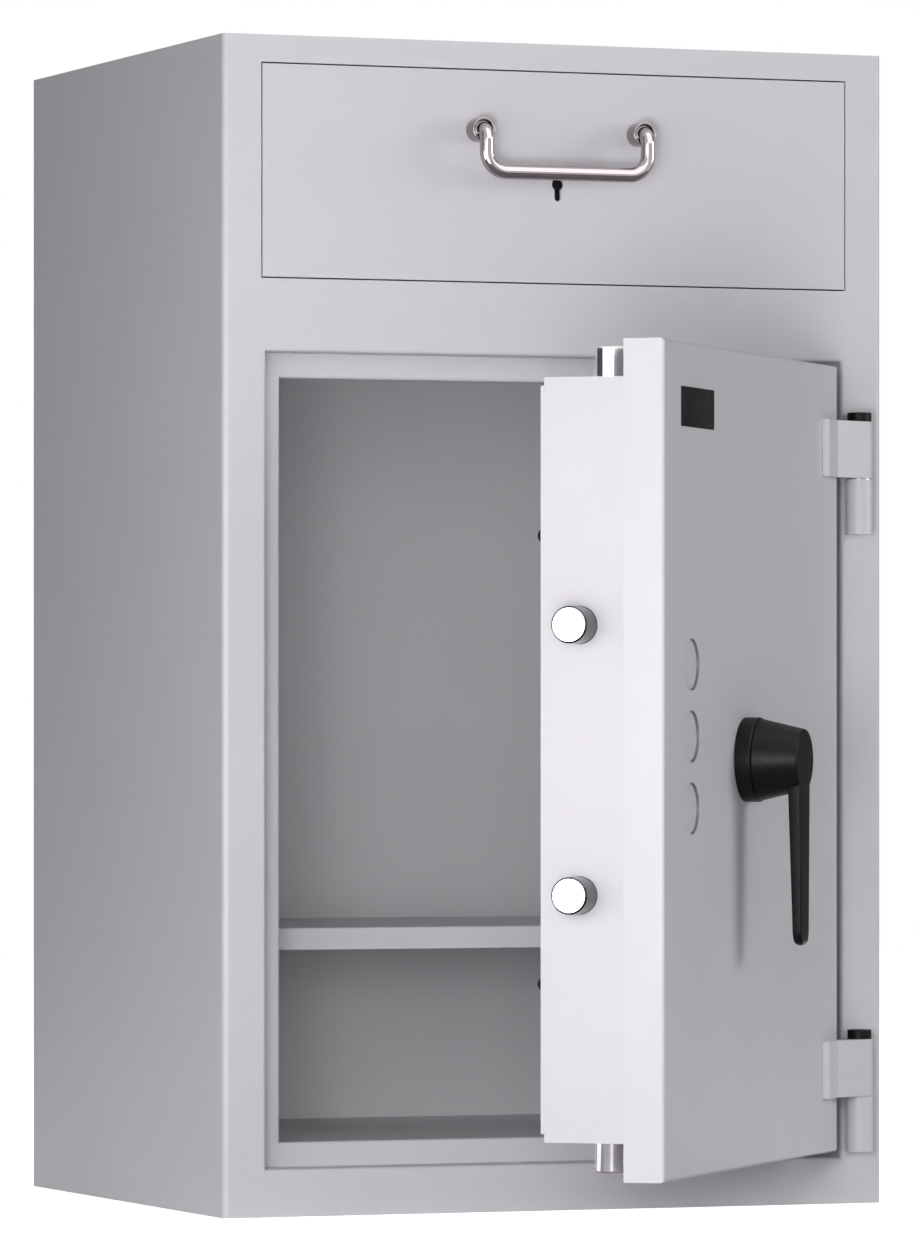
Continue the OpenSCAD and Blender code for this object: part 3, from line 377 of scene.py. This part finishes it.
def rough_concrete(name, colour):
    """Poured filling: mottled, matt and pitted."""
    finish, tree, shader = new_finish(name)
    colour = np.array(colour)
    mottle = noise(tree, scale=55.0, detail=8.0)
    tint(tree, mottle, colour * 0.75, colour * 1.1, shader.inputs["Base Color"])
    shader.inputs["Roughness"].default_value = 0.9
    emboss(tree, shader, mottle, strength=0.5, distance=1.0 * MM)
    return finish


FINISHES = {}


def finish_for(slot):
    """The finish of a material slot, or of pieces in it that only the scene tells apart. It is made on first
    use."""
    if slot not in FINISHES:
        tones = bpy.context.scene.safe_finishes
        bow = np.array(tones.bow)
        makers = {
            "casing_paint": lambda: powder_coat("casing paint", tones.paint, tones.paint_roughness),
            "inner_paint": lambda: powder_coat("inner paint", tones.inner_paint, tones.paint_roughness),
            # the plug rims' dark tone is painted shade of the gap round each plug
            "plug_rim": lambda: powder_coat("plug rim paint", tones.plug_rim, tones.paint_roughness),
            "barrier_fill": lambda: rough_concrete("barrier fill", (0.36, 0.34, 0.31)),
            "plain_steel": lambda: bare_steel("plain steel", (0.52, 0.53, 0.55), 0.34),
            "brass": lambda: bare_steel("plain brass", (0.66, 0.47, 0.19), 0.3),
            "bright_steel": lambda: mirror_metal("bolt chrome", tones.chrome, 0.09),
            # the side bolts' dark shanks are a painted dark reflection on the same chrome as their ends
            "turned_bolts": lambda: turned_bolts(tones.dark_reflection_shank, tones.chrome),
            "bow_steel": lambda: mirror_metal("bow stainless", bow, 0.11),
            # the bosses are the bow's own steel; this darker copy of it is a painted dark reflection
            "boss_steel": lambda: mirror_metal("boss stainless", 0.68 * bow, 0.14),
            "black_metal": lambda: satin_black("black casting", tones.black, 0.38, grain=500.0),
            "black_plastic": lambda: satin_black("black plastic", tones.black, 0.42, grain=300.0),
        }
        if slot not in makers:
            raise RuntimeError("no finish is written for the slot " + slot)
        FINISHES[slot] = makers[slot]()
    return FINISHES[slot]


class SafeFinishes(bpy.types.PropertyGroup):
    """The colours of the safe."""

    paint: FloatVectorProperty(
        name="Paint", description="Colour of the powder coat outside", subtype="COLOR", size=3, min=0, max=1,
        default=(0.625, 0.612, 0.645))
    inner_paint: FloatVectorProperty(
        name="Inner paint", description="Colour of the powder coat inside", subtype="COLOR", size=3, min=0,
        max=1, default=(0.63, 0.62, 0.64))
    # Dark tone of the plug rims: painted shade of the gap round each plug, not a separate paint.
    plug_rim: FloatVectorProperty(
        name="Plug rims", description="Colour of the rims round the blanking plugs", subtype="COLOR", size=3,
        min=0, max=1, default=(0.17, 0.165, 0.17))
    black: FloatVectorProperty(
        name="Black", description="Colour of the handle, caps and screws", subtype="COLOR", size=3, min=0,
        max=1, default=(0.006, 0.006, 0.007))
    chrome: FloatVectorProperty(
        name="Chrome", description="Tone of the bolts' bright ends", subtype="COLOR", size=3, min=0, max=1,
        default=(0.80, 0.80, 0.82))
    # The shank tone is a painted dark reflection: the bolts are chrome all over, darkened here on the shank and
    # chamfer.
    dark_reflection_shank: FloatVectorProperty(
        name="Bolt shanks", description="Tone of the side bolts' turned shanks", subtype="COLOR", size=3,
        min=0, max=1, default=(0.055, 0.055, 0.06))
    bow: FloatVectorProperty(
        name="Bow steel", description="Tone of the drawer's bow handle", subtype="COLOR", size=3, min=0,
        max=1, default=(0.40, 0.365, 0.37))
    paint_roughness: FloatProperty(
        name="Paint roughness", description="Roughness of the powder coat", subtype="FACTOR", min=0, max=1,
        default=0.42)


class SafeSizes(bpy.types.PropertyGroup):
    """The sizes that only the scene sets."""

    edge_round: FloatProperty(
        name="Edge rounding", description="Rounding of the lever's edges", unit="LENGTH", min=0.5 * MM,
        max=3.5 * MM, default=1.6 * MM)
    plate_width: FloatProperty(
        name="Plate width", description="Width of the blank plate on the door", unit="LENGTH", min=30 * MM,
        max=200 * MM, default=90.5 * MM)
    plate_height: FloatProperty(
        name="Plate height", description="Height of the blank plate on the door", unit="LENGTH", min=10 * MM,
        max=80 * MM, default=32 * MM)


class StudioSettings(bpy.types.PropertyGroup):
    """The light of the studio."""

    key_power: FloatProperty(
        name="Key lamp", description="Power of the large lamp in front, near the camera", unit="POWER", min=0,
        max=500, default=16)
    side_power: FloatProperty(
        name="Side lamp", description="Power of the lamp at the front left", unit="POWER", min=0, max=500,
        default=9.2)
    left_power: FloatProperty(
        name="Left lamp", description="Power of the lamp on the left", unit="POWER", min=0, max=500,
        default=5.4)
    low_power: FloatProperty(
        name="Low lamp", description="Power of the lamp near the floor, in front", unit="POWER", min=0,
        max=500, default=11.4)
    fill_power: FloatProperty(
        name="Fill lamp", description="Power of the lamp at the front right", unit="POWER", min=0, max=500,
        default=20.8)
    back_power: FloatProperty(
        name="Back lamp", description="Power of the large lamp above and behind the safe", unit="POWER",
        min=0, max=500, default=28)
    surround: FloatProperty(
        name="Surround", description="Strength of the white surroundings as light", min=0, max=2,
        default=0.12)


# The pieces, one operator each


class SAFE_OT_finish_cad(bpy.types.Operator):
    """Gives every piece that comes from the solids the finish of its material slot."""

    bl_idname = "safe.finish_cad"
    bl_label = "Finish the solid pieces"

    def execute(self, context):
        for name, node in NODES.items():
            node.data.materials.clear()
            node.data.materials.append(finish_for(SLOT_OF[name]))
        # The side bolts get chrome ends and shanks darkened as a painted dark reflection.
        NODES["side_bolts"].data.materials[0] = finish_for("turned_bolts")
        return {"FINISHED"}


class SAFE_OT_lever_casting(bpy.types.Operator):
    """The lever handle as one casting with soft edges: a conical hub and a lever that thins to its tip."""

    bl_idname = "safe.lever_casting"
    bl_label = "Lever handle"

    def execute(self, context):
        low, high = shut_box("door_handle")
        foot_y, front_y = high[1], low[1]
        hub_r, hub_front_r, hub_h = (high[0] - low[0]) / 2, 25 * MM, foot_y - front_y
        foot_round, front_round, under_front = 0.8 * MM, 1.5 * MM, 0.05 * MM
        cone = rounded_profile([(NEEDLE, 0), (hub_r, 0), (hub_front_r, hub_h), (NEEDLE, hub_h)],
                               [foot_round, front_round])
        hub = lathe(cone, (HANDLE_X, foot_y, HANDLE_Z), OUTWARDS)
        edge = context.scene.safe_sizes.edge_round
        lever = lever_surface(HANDLE_Z - low[2], front_y + under_front, edge)
        points, faces, caps = joined([hub, lever])
        make_piece("lever_casting", to_open_door(points), faces, finish_for("black_metal"), "handle",
                   stands_for=["door_handle"], caps=caps)
        return {"FINISHED"}


def lever_surface(length, front_y, edge):
    """The lever hangs down from the handle's axis. Going down, its half width falls evenly from 15 to 12 mm
    and closes in a half circle at the tip. Its depth falls from 11.5 to 7.5 mm and closes the same way. Its
    edges have the radius that is given, or nearly half the lever's size where it is too thin for that."""
    top_w, tip_r = 15 * MM, 12 * MM
    top_t, nose_r = 11.5 * MM, 3.75 * MM
    short_of_tip, most_round = 0.02 * MM, 0.95
    tip_start, nose_start = length - tip_r, length - nose_r
    straight = np.linspace(0, tip_start, 24)
    turn = np.linspace(0, math.pi / 2, 22)[1:-1]
    down = np.concatenate([straight, tip_start + tip_r * np.sin(turn), [length - short_of_tip]])
    wide = np.where(down > tip_start, closing_arc(down - tip_start, tip_r),
                    np.interp(down, [0, tip_start], [top_w, tip_r]))
    centre_deep = np.interp(down, [0, nose_start], [top_t, 2 * nose_r]) / 2
    deep = np.where(down > nose_start, closing_arc(down - nose_start, nose_r), centre_deep)
    edges = np.minimum(edge, most_round * np.minimum(wide, deep))
    flat = rounded_sections(wide, deep, edges)
    level = np.broadcast_to((HANDLE_Z - down)[:, None], flat.shape[:2])
    points = np.stack([HANDLE_X + flat[..., 0], front_y + centre_deep[:, None] + flat[..., 1], level], -1)
    rows, columns = flat.shape[:2]
    caps = [cap[::-1] for cap in end_caps(rows, columns)]
    return points.reshape(-1, 3), grid_faces(rows, columns), caps


def closing_arc(past, radius):
    """Half the size left at a distance past the start of a round end: the root of radius squared less the
    distance squared."""
    least = 1e-9
    return np.sqrt(np.maximum(radius ** 2 - np.maximum(past, 0) ** 2, least))


class SAFE_OT_handle_ring(bpy.types.Operator):
    """The black ring under the lever handle, with a rounded front edge."""

    bl_idname = "safe.handle_ring"
    bl_label = "Ring under the handle"

    def execute(self, context):
        low, high = shut_box("handle_rosette")
        outer_r, height = (high[0] - low[0]) / 2, high[1] - low[1]
        bore_r, foot_r, front_round = 6.05 * MM, 20 * MM, 2.2 * MM
        profile = rounded_profile(
            [(foot_r, 0), (outer_r, 0), (outer_r, height), (bore_r, height), (bore_r, 0)],
            [0.2 * MM, front_round, 0])
        points, faces, _ = turned_ring(profile, (HANDLE_X, FRONT_Y, HANDLE_Z), OUTWARDS)
        make_piece("handle_ring", to_open_door(points), faces, finish_for("black_plastic"), "door",
                   stands_for=["handle_rosette"])
        return {"FINISHED"}


class SAFE_OT_plug_cups(bpy.types.Operator):
    """The three blanking plugs as shallow pressed discs, set back in the leaf, with a rim round each whose dark
    colour is painted shade: the shade of the gap between disc and hole.
    """

    bl_idname = "safe.plug_cups"
    bl_label = "Blanking plugs"

    def execute(self, context):
        low, high = shut_box("blanking_plugs")
        plug_d = high[0] - low[0]
        pitch = (high[2] - low[2] - plug_d) / 2
        back, face = FRONT_Y - high[1], FRONT_Y - low[1]
        disc_r, rim_in, rim_out = 20.2 * MM, 20.3 * MM, 20.88 * MM
        lip, lip_in = -0.1 * MM, 20.6 * MM
        disc = rounded_profile([(NEEDLE, back), (disc_r, back), (disc_r, face), (NEEDLE, face)],
                               [0.2 * MM, 0.5 * MM])
        rim = rounded_profile(
            [(rim_in, back), (rim_out, back), (rim_out, lip), (lip_in, lip), (rim_in, face), (rim_in, back)],
            [0.1 * MM, 0.1 * MM, 0.1 * MM, 0])[:-1]
        discs, rims = [], []
        for k in (-1, 0, 1):
            centre = ((low[0] + high[0]) / 2, FRONT_Y, (low[2] + high[2]) / 2 + pitch * k)
            discs.append(lathe(disc, centre, OUTWARDS))
            rims.append(turned_ring(rim, centre, OUTWARDS))
        points, faces, caps = joined(discs)
        make_piece("plug_discs", to_open_door(points), faces, finish_for("casing_paint"), "door",
                   stands_for=["blanking_plugs"], caps=caps)
        # The rims' dark finish is painted shade in the gap round each disc.
        points, faces, _ = joined(rims)
        make_piece("plug_rims", to_open_door(points), faces, finish_for("plug_rim"), "door")
        return {"FINISHED"}


class SAFE_OT_cover_domes(bpy.types.Operator):
    """The four black domed heads of the cover's screws: caps of a ball whose radius is (r squared + height
    squared) / (2 heights)."""

    bl_idname = "safe.cover_domes"
    bl_label = "Cover screws"

    def execute(self, context):
        low, high = shut_box("cover_screws")
        r, height, pitch = 6.5 * MM, high[1] - low[1], 359.5 * MM
        ball = (r * r + height * height) / (2 * height)
        near_top = 0.03
        a = np.linspace(math.asin(r / ball), near_top, 14)
        arc = np.stack([ball * np.sin(a), height - ball + ball * np.cos(a)], -1)
        profile = np.concatenate([[(r, 0.0)], arc])
        middle_z = (low[2] + high[2]) / 2
        places = [(x, low[1], z) for x in (low[0] + r, high[0] - r)
                  for z in (middle_z - pitch / 2, middle_z + pitch / 2)]
        points, faces, caps = joined([lathe(profile, place, INWARDS, 48) for place in places])
        make_piece("cover_domes", to_open_door(points), faces, finish_for("black_metal"), "door",
                   stands_for=["cover_screws"], caps=caps)
        return {"FINISHED"}


class SAFE_OT_hinge_knobs(bpy.types.Operator):
    """The black caps on the hinge blocks, with a rounded upper edge."""

    bl_idname = "safe.hinge_knobs"
    bl_label = "Hinge caps"

    def execute(self, context):
        low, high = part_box("hinge_caps")
        r, height = 10.3 * MM, 8 * MM
        profile = rounded_profile([(NEEDLE, 0), (r, 0), (r, height), (NEEDLE, height)], [0.1 * MM, 1.0 * MM])
        parts = [lathe(profile, (HINGE[0], HINGE[1], foot), UP, 64) for foot in (low.z, high.z - height)]
        points, faces, caps = joined(parts)
        make_piece("hinge_knobs", points, faces, finish_for("black_plastic"), "door",
                   stands_for=["hinge_caps"], caps=caps)
        return {"FINISHED"}


BOW_BAR_R = 6.15 * MM
BOW_LEG_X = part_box("drawer_handle")[1].x - BOW_BAR_R
BOW_TOP_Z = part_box("drawer_handle")[1].z - BOW_BAR_R


class SAFE_OT_bow(bpy.types.Operator):
    """The drawer's bow handle as one bent round bar: out of each boss, down round the crank, and round a
    bend into the grip."""

    bl_idname = "safe.bow"
    bl_label = "Bow handle"

    def execute(self, context):
        low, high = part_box("drawer_handle")
        start_y = high.y
        crank = start_y - low.y - BOW_BAR_R
        grip_z = low.z + BOW_BAR_R
        bend, into_boss = 17 * MM, 2 * MM
        t = np.linspace(0, math.pi / 2, 33)
        zero = np.zeros_like(t)
        out_of_boss = np.array([[-BOW_LEG_X, start_y + into_boss, BOW_TOP_Z]])
        round_crank = np.stack([zero - BOW_LEG_X, start_y - crank * np.sin(t),
                                BOW_TOP_Z - crank + crank * np.cos(t)], -1)
        round_bend = np.stack([bend - BOW_LEG_X - bend * np.cos(t), zero + start_y - crank,
                               grip_z + bend - bend * np.sin(t)], -1)
        left = np.concatenate([out_of_boss, round_crank, round_bend])
        right = left[::-1] * np.array([-1, 1, 1])
        grip = np.linspace(left[-1], right[0], 12)[1:-1]
        path = evenly_spaced(np.concatenate([left, grip, right]), 1.0 * MM)
        points, faces, caps = swept_tube(path, BOW_BAR_R)
        make_piece("bow_bar", points, faces, finish_for("bow_steel"), "drawer",
                   stands_for=["drawer_handle"], caps=caps)
        return {"FINISHED"}


class SAFE_OT_bosses(bpy.types.Operator):
    """The two bosses of the bow handle, with a rounded lip round a dished front."""

    bl_idname = "safe.bosses"
    bl_label = "Bosses of the bow"

    def execute(self, context):
        low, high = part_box("handle_bosses")
        outer_r, length = high.x - BOW_LEG_X, high.y - low.y
        bore_r, lip_r, dish_r, dish = 2.6 * MM, 8.0 * MM, 7.4 * MM, 3.5 * MM
        profile = rounded_profile(
            [(bore_r, 0), (outer_r, 0), (outer_r, length), (lip_r, length), (dish_r, length - dish),
             (bore_r, length - dish)],
            [0.2 * MM, 1.0 * MM, 0.8 * MM, 0.6 * MM])
        bosses = [turned_ring(profile, (x, FRONT_Y, BOW_TOP_Z), OUTWARDS, 72)
                  for x in (-BOW_LEG_X, BOW_LEG_X)]
        points, faces, _ = joined(bosses)
        # The bosses' darker steel is a painted dark reflection, not a different metal.
        make_piece("bow_bosses", points, faces, finish_for("boss_steel"), "drawer",
                   stands_for=["handle_bosses"])
        return {"FINISHED"}


class SAFE_OT_blank_plate(bpy.types.Operator):
    """A thin black plate with nothing printed on it, in the leaf's upper corner on the free side."""

    bl_idname = "safe.blank_plate"
    bl_label = "Blank plate"

    def execute(self, context):
        sizes = context.scene.safe_sizes
        half_width, half_height = sizes.plate_width / 2, sizes.plate_height / 2
        radius, thick, edge = 1.2 * MM, 0.7 * MM, 0.25 * MM
        in_from_edge, down_from_top = 47.05 * MM, 36.1 * MM
        low, high = shut_box("leaf_pan")
        centre = (low[0] + in_from_edge + half_width, FRONT_Y, high[2] - down_from_top - half_height)
        points, faces, caps = rounded_slab(half_width, half_height, radius, thick, edge)
        make_piece("blank_plate", to_open_door(points + centre), faces, finish_for("black_plastic"), "door",
                   caps=caps)
        return {"FINISHED"}


# The studio


class SAFE_OT_stage(bpy.types.Operator):
    """The floor, the white surroundings, the lamps, the cards that show in gloss, and the camera. The powers
    and places of the lamps were chosen to bring the faces near their tones in the photograph."""

    bl_idname = "safe.stage"
    bl_label = "Studio"

    def execute(self, context):
        studio = context.scene.safe_studio
        make_floor()
        make_surround(studio.surround)
        add_lamp("key lamp", (-1.5, -3.6, 1.0), 1.4, studio.key_power)
        add_lamp("side lamp", (-1.4, -1.85, 0.6), 0.9, studio.side_power, colour=(1.0, 0.955, 0.99))
        add_lamp("left lamp", (-2.0, -1.0, 0.5), 0.9, studio.left_power)
        add_lamp("low lamp", (-0.9, -2.0, 0.3), 0.5, studio.low_power, aim=(0.0, -0.3, 0.15))
        add_lamp("fill lamp", (2.4, -1.3, 1.1), 0.9, studio.fill_power)
        add_lamp("back lamp", (1.3, 2.2, 3.0), 1.6, studio.back_power)
        height = 2.6
        add_flag("flag left", upright((-2.2, -0.7), (-2.2, 3.0), height), (0.07, 0.065, 0.07))
        add_flag("flag behind", upright((-2.2, 3.0), (0.1, 3.5), height), (0.07, 0.065, 0.07))
        add_flag("flag right", upright((2.56, -0.68), (1.22, 1.54), height), (0.12, 0.115, 0.12))
        add_flag("card high", [(-0.45, -1.75, 1.2), (1.45, -1.75, 1.2), (1.45, -0.55, height),
                               (-0.45, -0.55, height)], (2.6, 2.55, 2.55))
        over_floor = 4 * MM
        add_flag("flag low", [(-2.0, -4.0, over_floor), (2.4, -4.0, over_floor), (2.4, -0.27, over_floor),
                              (-2.0, -0.27, over_floor)], (0.24, 0.21, 0.22))
        add_camera(context.scene)
        context.scene.view_settings.view_transform = "Standard"
        return {"FINISHED"}


def seen_directly(tree):
    """1 for rays that come straight from the camera or by way of gloss or glass, 0 for diffuse light."""
    path = tree.nodes.new("ShaderNodeLightPath")
    first = tree.nodes.new("ShaderNodeMath")
    first.operation = "MAXIMUM"
    tree.links.new(path.outputs["Is Camera Ray"], first.inputs[0])
    tree.links.new(path.outputs["Is Glossy Ray"], first.inputs[1])
    both = tree.nodes.new("ShaderNodeMath")
    both.operation = "MAXIMUM"
    tree.links.new(first.outputs[0], both.inputs[0])
    tree.links.new(path.outputs["Is Transmission Ray"], both.inputs[1])
    return both.outputs[0]


def make_surround(strength):
    """White surroundings that light the object at the given strength and look white themselves."""
    world = bpy.data.worlds.new("studio surround")
    bpy.context.scene.world = world
    world.use_nodes = True
    tree = world.node_tree
    tree.nodes.clear()
    out = tree.nodes.new("ShaderNodeOutputWorld")
    lit = tree.nodes.new("ShaderNodeBackground")
    lit.inputs["Color"].default_value = (1, 1, 1, 1)
    lit.inputs["Strength"].default_value = strength
    shown = tree.nodes.new("ShaderNodeBackground")
    shown.inputs["Color"].default_value = (1, 1, 1, 1)
    shown.inputs["Strength"].default_value = 1.0
    mix = tree.nodes.new("ShaderNodeMixShader")
    tree.links.new(seen_directly(tree), mix.inputs["Fac"])
    tree.links.new(lit.outputs[0], mix.inputs[1])
    tree.links.new(shown.outputs[0], mix.inputs[2])
    tree.links.new(mix.outputs[0], out.inputs["Surface"])


def flat_sheet(name, corners, finish):
    """A flat sheet of four corners for the studio."""
    mesh = bpy.data.meshes.new(name)
    mesh.from_pydata(corners, [], [(0, 1, 2, 3)])
    mesh.materials.append(finish)
    sheet = bpy.data.objects.new(name, mesh)
    bpy.context.scene.collection.objects.link(sheet)
    return sheet


def make_floor():
    """A pale floor that looks nearly white and keeps the object's shadow."""
    half, glow_strength = 7.0, 0.9
    paper, tree, shader = new_finish("studio paper")
    shader.inputs["Base Color"].default_value = (0.82, 0.82, 0.83, 1)
    shader.inputs["Roughness"].default_value = 0.9
    shader.inputs["Emission Color"].default_value = (1, 1, 1, 1)
    glow = tree.nodes.new("ShaderNodeMath")
    glow.operation = "MULTIPLY"
    glow.inputs[1].default_value = glow_strength
    tree.links.new(seen_directly(tree), glow.inputs[0])
    tree.links.new(glow.outputs[0], shader.inputs["Emission Strength"])
    corners = [(-half, -half, 0), (half, -half, 0), (half, half, 0), (-half, half, 0)]
    floor = flat_sheet("studio_floor", corners, paper)


def upright(start, end, height):
    """The corners of an upright card that stands on the floor between two points."""
    return [(*start, 0), (*end, 0), (*end, height), (*start, height)]


def add_flag(name, corners, tone):
    """A card of one tone that only shows in gloss, as a photographer sets one beside polished metal."""
    cloth, _, shader = new_finish(name)
    shader.inputs["Base Color"].default_value = (0, 0, 0, 1)
    shader.inputs["Roughness"].default_value = 1.0
    shader.inputs["Emission Color"].default_value = (*tone, 1)
    shader.inputs["Emission Strength"].default_value = 1.0
    flag = flat_sheet(name.replace(" ", "_"), corners, cloth)
    flag.visible_camera = False
    flag.visible_diffuse = False
    flag.visible_transmission = False
    flag.visible_shadow = False


def add_lamp(name, place, size, power, aim=(0.0, -0.3, 0.5), colour=(1.0, 1.0, 1.0)):
    """A square soft lamp that looks from its place to its aim, which is the middle of the safe's front
    unless it is given."""
    light = bpy.data.lights.new(name, "AREA")
    light.color = colour
    light.size = size
    light.energy = power
    lamp = bpy.data.objects.new(name, light)
    bpy.context.scene.collection.objects.link(lamp)
    lamp.location = place
    away = np.array(place) - np.array(aim)
    lamp.rotation_euler = (math.acos(away[2] / np.linalg.norm(away)), 0, math.atan2(away[0], -away[1]))


def add_camera(scene):
    """A level camera with a long lens and a raised frame, fitted to the safe's edges in the photograph."""
    data = bpy.data.cameras.new("photo camera")
    data.sensor_width = 36.0
    data.lens = 222.67
    data.shift_y = 0.0888
    data.clip_end = 40.0
    camera = bpy.data.objects.new("photo camera", data)
    scene.collection.objects.link(camera)
    camera.location = (-2.4707, -6.3025, 0.4004)
    camera.rotation_euler = (math.radians(90), 0, math.radians(-21.46))
    scene.camera = camera


class SAFE_PT_panel(bpy.types.Panel):
    """Lists the steps that dress the safe, and the settings that a user can change."""

    bl_label = "Drop safe"
    bl_idname = "SAFE_PT_panel"
    bl_space_type = "VIEW_3D"
    bl_region_type = "UI"
    bl_category = "Drop safe"

    def draw(self, context):
        for step in STEPS:
            self.layout.operator(step.bl_idname)
        for group in (context.scene.safe_finishes, context.scene.safe_sizes, context.scene.safe_studio):
            box = self.layout.box()
            for key in group.__annotations__:
                box.prop(group, key)


STEPS = (SAFE_OT_finish_cad, SAFE_OT_lever_casting, SAFE_OT_handle_ring, SAFE_OT_plug_cups,
         SAFE_OT_cover_domes, SAFE_OT_hinge_knobs, SAFE_OT_bow, SAFE_OT_bosses, SAFE_OT_blank_plate,
         SAFE_OT_stage)
GROUPS = (SafeFinishes, SafeSizes, StudioSettings)


def register():
    """Registers the settings, the operators and the panel."""
    for kind in (*GROUPS, *STEPS, SAFE_PT_panel):
        bpy.utils.register_class(kind)
    bpy.types.Scene.safe_finishes = PointerProperty(type=SafeFinishes)
    bpy.types.Scene.safe_sizes = PointerProperty(type=SafeSizes)
    bpy.types.Scene.safe_studio = PointerProperty(type=StudioSettings)


def unregister():
    """Takes out what register put in."""
    del bpy.types.Scene.safe_finishes
    del bpy.types.Scene.safe_sizes
    del bpy.types.Scene.safe_studio
    for kind in reversed((*GROUPS, *STEPS, SAFE_PT_panel)):
        bpy.utils.unregister_class(kind)


def main():
    """Dresses the safe step by step."""
    register()
    for step in STEPS:
        group, name = step.bl_idname.split(".")
        getattr(getattr(bpy.ops, group), name)()


if __name__ == "__main__":
    main()
